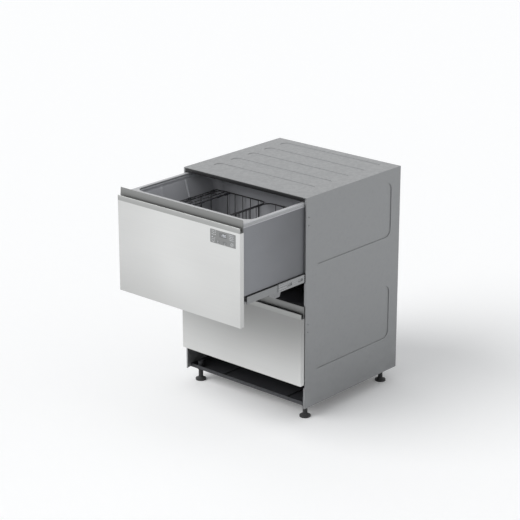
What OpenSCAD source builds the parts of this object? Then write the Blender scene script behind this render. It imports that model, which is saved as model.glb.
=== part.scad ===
// Double drawer dishwasher: a chassis with two drawers on telescopic runners.
// X points right seen from the front, Y points to the back, Z points up.
// The origin is on the floor, under the middle of the machine with its upper
// drawer standing open.

/* [Machine] */
// Overall width of the chassis
machine_w = 599; // [594:1:610]
// Overall height above the floor
machine_h = 865; // [860:1:880]
// Depth from the closed fronts to the back panel
machine_d = 573; // [568:1:600]
// Distance that the upper drawer stands open
rest_open = 327; // [0:1:487]
// How far the lower drawer reaches down into the base
base_dip = 5; // [0:1:7]
// Height of the base above the floor
foot_h = 52; // [46:1:56]
// Thickness of the chassis sheet
sheet_t = 1.2; // [0.8:0.1:1.6]

/* [Fronts] */
// Gap between the two fronts, with the handle strip in it
fronts_gap = 44; // [42:1:56]
// How much shorter the lower front is
toe_h = 84; // [70:1:100]
// Gap between the front and the side of the niche
front_side_gap = 1.5; // [1:0.5:3]
// Thickness of the steel front
front_t = 1; // [0.8:0.1:1.5]
// Thickness of the whole door
door_t = 20; // [19:1:23]
// Height of the lip in front of the finger channel
lip_h = 19; // [18.5:0.5:24]
// Thickness of the lip
lip_t = 3; // [2:0.5:4]
// Width of the finger channel
channel_w = 11; // [9:0.5:11.5]
// Depth of the finger channel
channel_depth = 17; // [14:0.5:17]
// Height of the handle strip above the lip
strip_rise = 26; // [22:1:26]

/* [Tub] */
// Room under the floor of the tub for its sump, its motor and the shelf
under_tub = 104; // [102:1:118]
// Thickness of the tub wall
tub_wall = 4; // [3:0.5:5]
// Width of the rim at the sides
rim_side = 45; // [42:1:52]
// Width of the rim at the front
rim_front = 51; // [48:1:60]
// Width of the rim at the back
rim_back = 30; // [24:1:40]
// Height of the skirt round the rim
rim_skirt = 15; // [12:1:18]
// Corner radius of the tub
tub_corner = 34; // [24:1:45]
// Height between the side skins and the floor of the tub, with the skirt
skin_rise = 56; // [55:1:64]
// Thickness of the side skins
skin_t = 2.5; // [2:0.5:3]
// Diameter of the sump
sump_d = 150; // [140:2:160]
// Depth of the sump below the floor
sump_depth = 20; // [16:1:22]

/* [Racks] */
// Diameter of the rails of the base racks
rail_d = 4.5; // [4:0.5:5]
// Diameter of the thin rack wires
wire_d = 3.2; // [3:0.1:3.6]
// Height of the base racks
rack_h = 182; // [170:1:190]
// Height of the tines
tine_h = 72; // [50:1:90]
// Distance between tines along a row
tine_pitch = 26; // [22:1:32]
// Number of tines in a row
tine_count = 12; // [6:1:13]
// Width of the cup rack
cup_rack_w = 68; // [60:1:70]
// Number of cross wires in the cup rack
cup_wires = 9; // [5:1:12]

/* [Runners] */
// Length of a runner
runner_len = 480; // [460:1:490]
// Height of a runner
runner_h = 34; // [30:1:36]
// Full travel of a drawer
drawer_travel = 487; // [400:1:490]

/* [Controls] */
// Width of the control fascia
fascia_w = 119; // [112:1:130]
// Height of the control fascia
fascia_h = 49; // [46:1:56]
// Travel of a key
key_travel = 1; // [0.5:0.1:1.5]

/* [Lids] */
// Thickness of a lid with its ribs
lid_t = 8; // [7:0.5:9]
// Height of a raised lid above the rim
lid_lift = 6.5; // [6:0.5:8]
// How far the seal hangs below the lid
seal_drop = 1.5; // [1:0.1:2]

/* [Hidden] */

// Clearances
fit = 0.3;              // between pieces that lie next to each other
run = 0.4;              // between the parts of a runner
pivot = 0.1;            // radial, round a pin that turns
e = 0.01;               // overshoot of a cut

// Heights. A drawer's own frame has Z = 0 at its rim and Y = 0 at its front.
lid_room = 3.3;
drawer_pitch = (machine_h - foot_h + base_dip) / 2;
upper_front_h = drawer_pitch - fronts_gap;
lower_front_h = upper_front_h - toe_h;
tub_depth = drawer_pitch - under_tub;
skin_h = tub_depth - skin_rise;
rim_z = machine_h - sheet_t - lid_room - lid_t - lid_lift;
z_lip = -8;
z_seam = z_lip - lip_h;
z_channel = z_lip - channel_depth;
z_strip = z_lip + strip_rise;
front_y = (rest_open - machine_d) / 2;
back_y = machine_d;

// Sheets
back_rise = 3;
bead_ys = [for (i = [0:4]) machine_d * (0.192 + 0.166 * i)];
bead_w = 46;
bead_r = 20;

// Widths
half_w = machine_w / 2;
inner_x = half_w - sheet_t;
front_w = machine_w - 2 * front_side_gap;
handle_w = front_w - 3;
strip_t = 4.5;
strip_y = lip_t + channel_w;
handle_leg = 16;

// Tub
rim_t = 4;
rim_x = half_w - 9.5;
skirt_t = 3;
cavity_x = rim_x - rim_side;
cavity_y0 = door_t + rim_front;
tub_back_y = machine_d - 53;
cavity_y1 = tub_back_y - rim_back;
cavity_d = cavity_y1 - cavity_y0;
mid_y = (cavity_y0 + cavity_y1) / 2;
wall_x = cavity_x + tub_wall;
bead_x = cavity_x - 5;
skin_x = rim_x - 1;
rib_pitch = 130;
rib_w = 7;
rib_rise = 3;
rib_y0 = 203;
sump_floor = -tub_depth - sump_depth;
step_in = 26;
step_depth = 1.5;
floor_z = -tub_depth - step_depth;

// Runners
track_t = 13;
plate_t = 1.4;
run_z = -rim_skirt - skin_h - 1 - runner_h / 2;
run_y0 = 40;
shelf_t = 3;
hanger_y = 217;

// Racks
bite = 0.45;            // how deep crossing wires are welded into each other
rack_gap = 7;
rack_x1 = cavity_x - rack_gap;
rack_x0 = 4;
rack_y0 = cavity_y0 + 24;
rack_y1 = cavity_y1 - rack_gap;
rack_w = rack_x1 - rack_x0;
rack_d = rack_y1 - rack_y0;
rack_r = 26;
grid_z = -tub_depth + 33;
grid_off = wire_d - bite;
tine_rows = [0.2, 0.48, 0.76];
rail_top = grid_z + rack_h;
wire_sides = 8;
tine_lean = 6;
hinge_d = 4;
hinge_x = rack_x1 - 2;
hinge_z = rail_top + 8.2;
cup_y0 = rack_y0 + 22;
cup_y1 = rack_y1 - 22;
cup_pitch = (cup_y1 - cup_y0) / (cup_wires - 1);
sleeve_d = 9;
sleeve_l = 15;
clip_w = 9;
basket_w = 62;
basket_l = 236;
basket_h = 126;
basket_x = -112;
basket_y = rack_y0 + 30;

// Spray arm and filter
arm_z = -tub_depth + 9;
arm_t = 12;
arm_r = 196;
shaft_r = 7;
hub_r = 27;
wing_z = 1.5;
wing_root_r = 22;
wing_tip_r = 14;
arm_angles = [25, 205];
plate_z = 3;
plate_r = cavity_d / 2 - step_in - 2;
filter_r = 24;
filter_x = 47;
motor_r = 62;
motor_h = 34;

// Dispenser
disp_w = 156;
disp_h = 74;
disp_t = 17;
disp_z = -52;
cup_x = -48;
cup_w = 44;
cup_h = 42;
slide_travel = 46;
slide_t = 2.2;
guide_t = 1.6;
disp_face = disp_t - guide_t - slide_t - 2 * fit;
cup_depth = 10.5;

// Controls
fascia_t = 4;
fascia_x = front_w / 2 - 20 - fascia_w / 2;
fascia_z = z_lip - 28 - fascia_h / 2;
key_gap = 0.25;
key_flange = 1.2;
key_back = 0.2;         // between the fascia and the flange of a key
key_z = -15;
power_x = -46;
program_x = -24;
option_x = 8;
start_x = 42;
round_key = 9;
bar_key = [16, 8];
window_size = [34, 17];
window_at = [0, 10];

// Lids
lid_x = rim_x - 15;
lid_y0 = 37;
lid_y1 = tub_back_y - 5;
lid_skin = 3;
seal_w = 6;
seal_out = 12;
lid_pin_r = 2.5;
lid_travel = lid_lift - seal_drop - fit;
lid_pin_z = lid_lift + 4;
actuator_x = inner_x - 15;
actuator_y = [92, 458];

// Connections, feet and fixings
inlet_r = 13.22;
inlet_len = 14;
inlet_x = -222;
inlet_z = 104;
drain_r = 9.5;
drain_len = 26;
drain_x = 225;
drain_z = 100;
foot_x = half_w - 34;
foot_y = [66, machine_d - 52];
stem_r = 6;
fix_r = 2.25;
fix_pitch = 30;
fix_z = [rim_z - drawer_pitch - 70, rim_z - 70];
fix_y = 37;

/* ---- shapes that repeat ---- */

// Points on an arc
function arc(x, y, r, a0, a1, n = 6) =
    [for (i = [0:n]) let (a = a0 + (a1 - a0) * i / n) [x + r * cos(a), y + r * sin(a)]];

// Outline of a rounded rectangle between two corners
function rounded(x0, y0, x1, y1, r, n = 6) = concat(
    arc(x1 - r, y1 - r, r, 0, 90, n), arc(x0 + r, y1 - r, r, 90, 180, n),
    arc(x0 + r, y0 + r, r, 180, 270, n), arc(x1 - r, y0 + r, r, 270, 360, n));

// Outline of a bar with round ends that get their radii r0 at x0 and r1 at x1
function tapered(x0, r0, x1, r1, n = 8) = let (a = acos((r0 - r1) / (x1 - x0)))
    concat(arc(x1, 0, r1, -a, a, n), arc(x0, 0, r0, a, 360 - a, n));

// Plate with rounded corners, from z up to z + h
module plate(x0, y0, x1, y1, r, z, h) {
    translate([0, 0, z]) linear_extrude(height = h) polygon(rounded(x0, y0, x1, y1, r));
}

// Ring between two rounded rectangles, each [x half width, y front, y back, radius]
module ring(outer, inner, z, h) {
    difference() {
        plate(-outer[0], outer[1], outer[0], outer[2], outer[3], z, h);
        plate(-inner[0], inner[1], inner[0], inner[2], inner[3], z - e, h + 2 * e);
    }
}

// Profile drawn in Y and Z, carried along X and centred
module along_x(w) {
    rotate([90, 0, 90]) linear_extrude(height = w, center = true) children();
}

// Profile drawn in X and Z, carried back from y
module along_y(y, l) {
    translate([0, y + l, 0]) rotate([90, 0, 0]) linear_extrude(height = l) children();
}

// Box between two corners
module box(a, b) {
    translate(a) cube(b - a);
}

// Round wire between two points
module wire(p, q, d) {
    v = q - p;
    l = norm(v);
    translate(p) rotate([0, acos(v[2] / l), atan2(v[1], v[0])]) cylinder(h = l, d = d, $fn = wire_sides);
}

// The same on the left and on the right
module both_sides() {
    children();
    mirror([1, 0, 0]) children();
}

// Places of the two drawers, and of the chassis, which starts at the closed fronts
module in_upper(open = rest_open) {
    translate([0, front_y - open, rim_z]) children();
}

module in_lower(open = 0) {
    translate([0, front_y - open, rim_z - drawer_pitch]) children();
}

module in_chassis() {
    translate([0, front_y, 0]) children();
}

/* ---- chassis ---- */

// Raised panel pressed into a side sheet, drawn at the right side
module pressing(y0, y1, z0, z1, rise = 2.5, r = 30) {
    translate([inner_x - rise, 0, 0]) rotate([90, 0, 90])
        linear_extrude(height = rise + e) polygon(rounded(y0, z0, y1, z1, r));
}

module pressing_cut(y0, y1, z0, z1, rise = 2.5, r = 30) {
    t = sheet_t;
    translate([half_w - rise, 0, 0]) rotate([90, 0, 90])
        linear_extrude(height = rise + e)
            polygon(rounded(y0 + t, z0 + t, y1 - t, z1 - t, r - t));
}

// Right side sheet: flanges in front, behind and on top, two pressed panels
module side_sheet() {
    y0 = door_t + 2;
    y1 = back_y - sheet_t - 0.01;
    fields = [[70, tub_back_y, rim_z - drawer_pitch - 246, rim_z - drawer_pitch - 30],
              [70, tub_back_y, rim_z - 246, rim_z - 30]];
    runner_slots = [rim_z + run_z, rim_z - drawer_pitch + run_z];
    difference() {
        union() {
            box([inner_x, y0, foot_h], [half_w, back_y, machine_h]);
            box([inner_x - 5.5, y0, foot_h], [inner_x + e, y0 + sheet_t, machine_h - sheet_t]);
            box([inner_x - 14, y1 - sheet_t, foot_h + 16], [inner_x + e, y1, machine_h - sheet_t]);
            box([inner_x - 14, y0, machine_h - 2 * sheet_t], [inner_x + e, y1, machine_h - sheet_t]);
            for (f = fields) pressing(f[0], f[1], f[2], f[3]);
        }
        for (f = fields) pressing_cut(f[0], f[1], f[2], f[3]);
        for (z = runner_slots)
            box([inner_x - 7, y0 - 1, z - runner_h / 2 - 3], [inner_x, y0 + 3, z + runner_h / 2 + 3]);
        // holes for the side fixings
        for (z = fix_z, s = [-1, 1])
            translate([inner_x - 1, fix_y, z + s * fix_pitch / 2]) rotate([0, 90, 0])
                cylinder(h = sheet_t + 2, r = fix_r, $fn = 32);
    }
}

module chassis_left_side() {
    color("dimgray") in_chassis() mirror([1, 0, 0]) side_sheet();
}

module chassis_right_side() {
    color("dimgray") in_chassis() side_sheet();
}

// Back sheet with pressed ribs and cut-outs for the two connections
module chassis_back_panel() {
    y1 = back_y;
    y0 = y1 - sheet_t;
    z0 = foot_h + 14.5;
    color("gray") in_chassis() difference() {
        union() {
            box([-inner_x, y0, z0], [inner_x, y1, machine_h - sheet_t]);
            for (x = [-190, 0, 190])
                translate([x, 0, 0]) along_y(y0 - back_rise, back_rise + e)
                    polygon(rounded(-70, 190, 70, machine_h - 60, 24));
        }
        for (x = [-190, 0, 190])
            translate([x, 0, 0]) along_y(y1 - back_rise, back_rise + e)
                polygon(rounded(-70 + sheet_t, 190 + sheet_t, 70 - sheet_t,
                                machine_h - 60 - sheet_t, 24 - sheet_t));
        for (c = [[inlet_x, inlet_z], [drain_x, drain_z]])
            translate([c[0], 0, 0]) along_y(y0 - 1, sheet_t + 2)
                polygon(rounded(-36, c[1] - 30, 36, c[1] + 34, 8));
    }
}

// Top sheet with shallow beads that keep it flat
module chassis_top_panel() {
    z0 = machine_h - sheet_t;
    bead = 1.2;
    color("gray") in_chassis() difference() {
        union() {
            box([-inner_x, door_t + 2, z0], [inner_x, back_y - sheet_t, machine_h]);
            for (y = bead_ys) plate(-bead_x, y, bead_x, y + bead_w, bead_r, z0 - bead, bead + e);
        }
        for (y = bead_ys)
            plate(-bead_x + sheet_t, y + sheet_t, bead_x - sheet_t, y + bead_w - sheet_t,
                  bead_r - sheet_t, machine_h - bead, bead + e);
    }
}

// Cross member in front of a lid: a channel that is open towards the back
module cross_member(z0, z1) {
    y0 = door_t + 2;
    depth = 12;
    t = 1.6;
    along_x(2 * inner_x) polygon(concat(
        [[y0 + depth, z0], [y0 + depth, z0 + t], [y0 + t, z0 + t], [y0 + t, z1 - t],
         [y0 + depth, z1 - t], [y0 + depth, z1]],
        arc(y0 + 2, z1 - 2, 2, 90, 180, 4), arc(y0 + 2, z0 + 2, 2, 180, 270, 4)));
}

module front_top_trim() {
    color([0.09, 0.09, 0.1]) in_chassis() difference() {
        cross_member(rim_z + 3, machine_h - sheet_t);
        flange_relief(machine_h);
    }
}

module middle_rail() {
    color([0.09, 0.09, 0.1]) in_chassis() difference() {
        cross_member(rim_z - drawer_pitch + 3, machine_h - drawer_pitch - sheet_t);
        flange_relief(machine_h - drawer_pitch);
    }
}

// Room for the flanges of the side sheets at both ends of a cross member
module flange_relief(z1) {
    both_sides() {
        box([inner_x - 5.5, door_t, z1 - 30], [half_w, door_t + 2 + sheet_t, z1 + 1]);
        box([inner_x - 14, door_t, machine_h - 2 * sheet_t], [half_w, door_t + 40, machine_h]);
    }
}

// Shelf over the lower lid
module middle_panel() {
    z1 = machine_h - drawer_pitch;
    color([0.12, 0.12, 0.13]) in_chassis() difference() {
        union() {
            box([-inner_x, door_t + 4, z1 - sheet_t], [inner_x, back_y - sheet_t - back_rise - fit, z1]);
            for (y = bead_ys)
                plate(-bead_x, y, bead_x, y + bead_w, bead_r, z1 - 2 * sheet_t, sheet_t + e);
        }
        for (y = bead_ys)
            plate(-bead_x + sheet_t, y + sheet_t, bead_x - sheet_t, y + bead_w - sheet_t,
                  bead_r - sheet_t, z1 - sheet_t, sheet_t + e);
    }
}

// Pan under everything, with threaded bushes for the feet
module base_tray() {
    y0 = run_y0 + 4;
    y1 = back_y - sheet_t - fit;
    wall_h = 14;
    t = sheet_t;
    color([0.16, 0.16, 0.17]) in_chassis() difference() {
        union() {
            box([-inner_x, y0, foot_h], [inner_x, y1, foot_h + wall_h]);
            for (x = [-foot_x, foot_x], y = foot_y)
                translate([x, y, foot_h]) cylinder(h = 26, r = stem_r + 5);
        }
        difference() {
            box([-inner_x + t, y0 + t, foot_h + t], [inner_x - t, y1 - t, foot_h + wall_h + 1]);
            for (x = [-foot_x, foot_x], y = foot_y)
                translate([x, y, foot_h]) cylinder(h = 26, r = stem_r + 5);
            for (x = [-160, 160]) box([x - 20, y0, foot_h], [x + 20, y1, foot_h + 6]);
        }
        for (x = [-160, 160]) box([x - 20 + t, y0 + t, foot_h - 1], [x + 20 - t, y1 - t, foot_h + 6 - t]);
        for (x = [-foot_x, foot_x], y = foot_y)
            translate([x, y, foot_h - 1]) cylinder(h = 28, r = stem_r + pivot, $fn = 48);
    }
}

// Levelling foot: pad, nut and stem
module foot(x, y) {
    pad_r = 21;
    color([0.12, 0.12, 0.12]) in_chassis() translate([x, y, 0]) {
        cylinder(h = 6, r = pad_r, $fn = 48);
        translate([0, 0, 6]) cylinder(h = 6, r1 = pad_r - 3, r2 = 11, $fn = 48);
        translate([0, 0, 12]) cylinder(h = foot_h - 20, r = 9, $fn = 48);
        translate([0, 0, foot_h - 8]) cylinder(h = 8 - 0.2, r = 13, $fn = 6);
        translate([0, 0, foot_h - 1]) cylinder(h = 25, r = stem_r, $fn = 48);
    }
}

module foot_front_left() { foot(-foot_x, foot_y[0]); }
module foot_front_right() { foot(foot_x, foot_y[0]); }
module foot_rear_left() { foot(-foot_x, foot_y[1]); }
module foot_rear_right() { foot(foot_x, foot_y[1]); }

// Solenoid valve on a bracket that stands in the base tray
module water_inlet_valve() {
    z0 = foot_h + sheet_t;
    y1 = back_y - 2;
    body_l = 26;
    color("white") in_chassis() translate([inlet_x, 0, 0]) {
        box([-15, y1 - inlet_len - body_l, inlet_z - 15], [15, y1 - inlet_len, inlet_z + 15]);
        translate([0, y1 - inlet_len - e, inlet_z]) rotate([-90, 0, 0])
            cylinder(h = inlet_len + e, r = inlet_r, $fn = 64);
        translate([0, y1 - inlet_len - body_l / 2, inlet_z + 14]) cylinder(h = 26, r = 11);
        box([-11, y1 - inlet_len - body_l + 3, z0], [11, y1 - inlet_len - body_l + 6, inlet_z]);
        box([-11, y1 - inlet_len - body_l + 3, z0], [11, y1 - inlet_len - 2, z0 + 2]);
    }
}

// Drain elbow with a spigot that tapers at its end, so that the hose starts easily
module drain_connector() {
    z0 = foot_h + sheet_t;
    y1 = back_y - 2;
    lead = 4;
    color([0.25, 0.25, 0.27]) in_chassis() translate([drain_x, 0, 0]) {
        translate([0, y1 - drain_len, drain_z]) rotate([-90, 0, 0]) {
            cylinder(h = drain_len - lead, r = drain_r, $fn = 48);
            translate([0, 0, drain_len - lead])
                cylinder(h = lead, r1 = drain_r, r2 = drain_r - 1.5, $fn = 48);
        }
        box([-14, y1 - drain_len - 20, drain_z - 14], [14, y1 - drain_len + e, drain_z + 14]);
        box([-9, y1 - drain_len - 14, z0], [9, y1 - drain_len - 6, drain_z]);
        box([-16, y1 - drain_len - 20, z0], [16, y1 - drain_len, z0 + 3]);
    }
}

// Four plates inside the side sheets, each with two screw holes
module mounting_brackets() {
    t = 2;
    color("silver") in_chassis() both_sides() for (z = fix_z) difference() {
        union() {
            box([inner_x - t, fix_y - 10, z - 28], [inner_x, fix_y + 10, z + 28]);
            box([inner_x - 5, fix_y + 8, z - 28], [inner_x, fix_y + 10, z + 28]);
        }
        for (s = [-1, 1])
            translate([inner_x - t - 1, fix_y, z + s * fix_pitch / 2]) rotate([0, 90, 0])
                cylinder(h = t + 2, r = fix_r, $fn = 32);
    }
}

/* ---- runners ---- */

// C profile at the right side, open towards the middle, drawn in X and Z
module c_profile(x, w, h, t, lip) {
    z = h / 2;
    polygon([[x, -z], [x, z], [x - w, z], [x - w, z - lip], [x - w + t, z - lip],
             [x - w + t, z - t], [x - t, z - t], [x - t, -z + t],
             [x - w + t, -z + t], [x - w + t, -z + lip], [x - w, -z + lip], [x - w, -z]]);
}

module tracks() {
    both_sides() translate([0, 0, run_z]) {
        along_y(run_y0, runner_len) c_profile(inner_x, track_t, runner_h, plate_t, 6);
        for (y = [run_y0 + 40, run_y0 + runner_len - 40])
            box([inner_x - plate_t, y - 9, -runner_h / 2 - 7], [inner_x, y + 9, runner_h / 2]);
    }
}

module upper_tracks() {
    color("silver") in_upper(0) tracks();
}

module lower_tracks() {
    color("silver") in_lower(0) tracks();
}

// Middle members: they travel half as far as the drawer
module carriages() {
    h = runner_h - 2 * plate_t - 2 * run;
    x = inner_x - plate_t - 0.8;
    w = track_t - 2 * plate_t - 1.6;
    both_sides() translate([0, 0, run_z]) difference() {
        along_y(run_y0, runner_len) c_profile(x, w, h, plate_t, 5);
        // windows of the ball cage
        for (y = [run_y0 + 60:60:run_y0 + runner_len - 60])
            box([x - plate_t - 1, y - 12, -5], [x + 1, y + 12, 5]);
    }
}

module upper_carriages() {
    color("gainsboro") in_upper(rest_open / 2) carriages();
}

module lower_carriages() {
    color("gainsboro") in_lower(0) carriages();
}

// Inner members on the drawer, with the shelves that carry the tub
module rails() {
    h = runner_h - 4 * plate_t - 4 * run;
    x1 = inner_x - 2 * plate_t - 1.6;
    x0 = inner_x - track_t - 6;
    both_sides() translate([0, 0, run_z]) difference() {
        union() {
            box([x1 - 3, run_y0, -h / 2], [x1, run_y0 + runner_len, h / 2]);
            box([x0, run_y0, -5], [x1 - 2, run_y0 + runner_len, 5]);
            box([x0 - shelf_t, run_y0, -18], [x0 + e, run_y0 + runner_len, 14]);
            box([wall_x, run_y0, -18], [x0, run_y0 + runner_len, -18 + shelf_t]);
            box([wall_x, run_y0 + 20, -18], [wall_x + shelf_t, run_y0 + runner_len, 8]);
            // bracket that hangs under the shelf
            along_x_at(wall_x + 4, x0 - wall_x - 4) polygon(
                [[hanger_y - 22, -16], [hanger_y - 14, -41], [hanger_y + 12, -41], [hanger_y + 22, -16]]);
            // plate across the front end of the shelf
            box([wall_x, run_y0, -18], [x0, run_y0 + shelf_t, 5]);
        }
        for (y = [run_y0 + 60:80:run_y0 + runner_len - 60])
            translate([x0 - shelf_t - 1, y, 9]) rotate([0, 90, 0]) cylinder(h = 6, r = 2.5, $fn = 24);
    }
}

// Profile drawn in Y and Z, carried along X from x
module along_x_at(x, w) {
    translate([x + w / 2, 0, 0]) along_x(w) children();
}

module upper_rails() {
    color("lightgray") in_upper() rails();
}

module lower_rails() {
    color("lightgray") in_lower() rails();
}

/* ---- lids ---- */

// Flat lid with edge ribs, cross ribs and two pins at each side
module lid() {
    z0 = lid_lift;
    z1 = lid_lift + lid_t;
    difference() {
        union() {
            plate(-lid_x, lid_y0, lid_x, lid_y1, 20, z0, lid_skin);
            ring([lid_x, lid_y0, lid_y1, 20], [lid_x - 3, lid_y0 + 3, lid_y1 - 3, 17], z0, lid_t);
            ring([lid_x - 60, lid_y0 + 60, lid_y1 - 60, 40],
                 [lid_x - 63, lid_y0 + 63, lid_y1 - 63, 37], z0, lid_t);
            for (a = [45:90:360]) translate([0, mid_y, z0]) rotate([0, 0, a])
                box([60, -1.5, 0], [180, 1.5, lid_t]);
            translate([0, mid_y, z0]) cylinder(h = lid_t, r = 62, $fn = 64);
            both_sides() for (y = actuator_y) {
                translate([lid_x - 14, y, lid_pin_z]) rotate([0, 90, 0])
                    cylinder(h = inner_x - 6 - lid_x + 14, r = lid_pin_r, $fn = 32);
                box([lid_x - 16, y - 6, z0 + 1], [lid_x - 1, y + 6, z1]);
            }
        }
        translate([0, mid_y, z0 + lid_skin]) cylinder(h = lid_t, r = 59, $fn = 64);
        // groove that holds the seal
        ring([cavity_x + seal_out, cavity_y0 - seal_out, cavity_y1 + seal_out, tub_corner + seal_out],
             [cavity_x + seal_out - seal_w, cavity_y0 - seal_out + seal_w,
              cavity_y1 + seal_out - seal_w, tub_corner + seal_out - seal_w], z0 - 1, 2.5);
    }
}

module lid_seal() {
    ring([cavity_x + seal_out - e, cavity_y0 - seal_out + e, cavity_y1 + seal_out - e, tub_corner + seal_out],
         [cavity_x + seal_out - seal_w + e, cavity_y0 - seal_out + seal_w - e,
          cavity_y1 + seal_out - seal_w + e, tub_corner + seal_out - seal_w],
         lid_lift - seal_drop, seal_drop + 1.5);
}

// Housings with upright slots that raise and lower the lids
module actuators() {
    z0 = 1.3;
    z1 = lid_lift + lid_t + lid_room - sheet_t - 0.6;
    slot = lid_pin_r + pivot;
    both_sides() for (y = actuator_y) difference() {
        box([actuator_x, y - 24, z0], [inner_x, y + 24, z1]);
        along_x_at(actuator_x - 1, inner_x - 2 - actuator_x + 1)
            polygon(rounded(y - slot, lid_pin_z - lid_travel - slot, y + slot,
                            lid_pin_z + slot, slot - 0.01, 4));
        for (s = [-1, 1])
            box([actuator_x - 1, y + s * 14 - 4, z0 + 3], [actuator_x + 4, y + s * 14 + 4, z1 - 3]);
    }
}

module lid_actuators() {
    color([0.2, 0.2, 0.22]) {
        in_upper(0) actuators();
        in_lower(0) actuators();
    }
}

module upper_lid() { color([0.3, 0.31, 0.33]) in_upper(0) lid(); }
module lower_lid() { color([0.3, 0.31, 0.33]) in_lower(0) lid(); }
module upper_lid_seal() { color([0.1, 0.1, 0.1]) in_upper(0) lid_seal(); }
module lower_lid_seal() { color([0.1, 0.1, 0.1]) in_lower(0) lid_seal(); }

/* ---- fronts ---- */

// U of folded sheet seen from above
module folded_front(w, depth, t, r) {
    polygon(concat(
        [[w / 2, depth]], [[w / 2 - t, depth]], arc(w / 2 - r, r, r - t, 0, -90),
        arc(-w / 2 + r, r, r - t, -90, -180), [[-w / 2 + t, depth]], [[-w / 2, depth]],
        arc(-w / 2 + r, r, r, 180, 270), arc(w / 2 - r, r, r, 270, 360)));
}

module front_panel(h, with_controls = false) {
    z0 = z_lip - h;
    depth = door_t - 1;
    difference() {
        union() {
            translate([0, 0, z0]) linear_extrude(height = z_seam - z0)
                folded_front(front_w, depth, front_t, 2.5);
            box([-front_w / 2 + front_t / 2, front_t / 2, z0],
                [front_w / 2 - front_t / 2, depth, z0 + front_t]);
            box([-front_w / 2 + front_t / 2, front_t / 2, z_seam - front_t],
                [front_w / 2 - front_t / 2, 14, z_seam]);
        }
        if (with_controls) fascia_hole(key_gap, front_t + 1);
    }
}

// Opening for the control fascia, with the given gap round it
module fascia_hole(gap, depth) {
    translate([fascia_x, 0, fascia_z]) along_y(-1, depth + 1)
        polygon(rounded(-fascia_w / 2 - gap, -fascia_h / 2 - gap,
                        fascia_w / 2 + gap, fascia_h / 2 + gap, 2.5));
}

// Extruded handle: lip, finger channel, curved strip behind it, fixing leg below
module handle() {
    back = strip_y + strip_t;
    fillet = 6;
    along_x(handle_w) polygon(concat(
        [[0, z_seam]],
        arc(lip_t / 2, z_lip - lip_t / 2, lip_t / 2, 180, 0),
        arc(lip_t + 2, z_channel + 2, 2, 180, 270, 4),
        arc(strip_y - fillet, z_channel + fillet, fillet, 270, 345),
        [[strip_y + 0.2, z_channel + 20], [strip_y + 0.9, z_lip + 6], [strip_y + 1.9, z_strip - 4]],
        arc(back - 1.2, z_strip - 1.2, 1.2, 150, 0, 5),
        [[back, z_seam - handle_leg], [back - 2.5, z_seam - handle_leg], [back - 2.5, z_seam]]));
}

// Moulded inner door with pockets behind the steel front
module door_frame(h, with_controls = false) {
    x1 = front_w / 2 - front_t - fit;
    z0 = z_lip - h + front_t + fit;
    z1 = z_seam - front_t - fit;
    y0 = front_t + fit;
    back = strip_y + strip_t;
    bevel = 1.6;
    wall = 2.5;
    cols = 5;
    rows = 3;
    pw = 2 * x1 / cols;
    ph = (z1 - handle_leg - z0) / rows;
    difference() {
        translate([0, 0, z0]) linear_extrude(height = z1 - z0) polygon([
            [x1, door_t], [-x1, door_t], [-x1, y0 + bevel],
            [-x1 + bevel, y0], [x1 - bevel, y0], [x1, y0 + bevel]]);
        // seat of the handle's leg
        box([-x1 - 1, back - 2.5 - fit, z_seam - handle_leg - fit], [x1 + 1, door_t + 1, z1 + 1]);
        for (c = [0:cols - 1], r = [0:rows - 1])
            box([-x1 + c * pw + wall, 0, z0 + r * ph + wall],
                [-x1 + (c + 1) * pw - wall, door_t - wall, z0 + (r + 1) * ph - wall]);
        if (with_controls) fascia_hole(key_gap, door_t - wall);
    }
    if (with_controls) keypad_board();
}

// Circuit board that the keys and the window sit on
module keypad_board() {
    x0 = fascia_x - fascia_w / 2 - key_gap - e;
    x1 = fascia_x + fascia_w / 2 + key_gap + e;
    y = fascia_t + key_flange + key_travel + 1;
    z0 = fascia_z - fascia_h / 2 - key_gap - e;
    z1 = fascia_z + fascia_h / 2 + key_gap + e;
    box([x0, y, z0], [x1, y + 1.6, z1]);
}

/* ---- tub ---- */

tub_rim = [rim_x, door_t, tub_back_y, 12];
tub_cavity = [cavity_x, cavity_y0, cavity_y1, tub_corner];
tub_outer = [wall_x, cavity_y0 - tub_wall, cavity_y1 + tub_wall, tub_corner + tub_wall];

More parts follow.
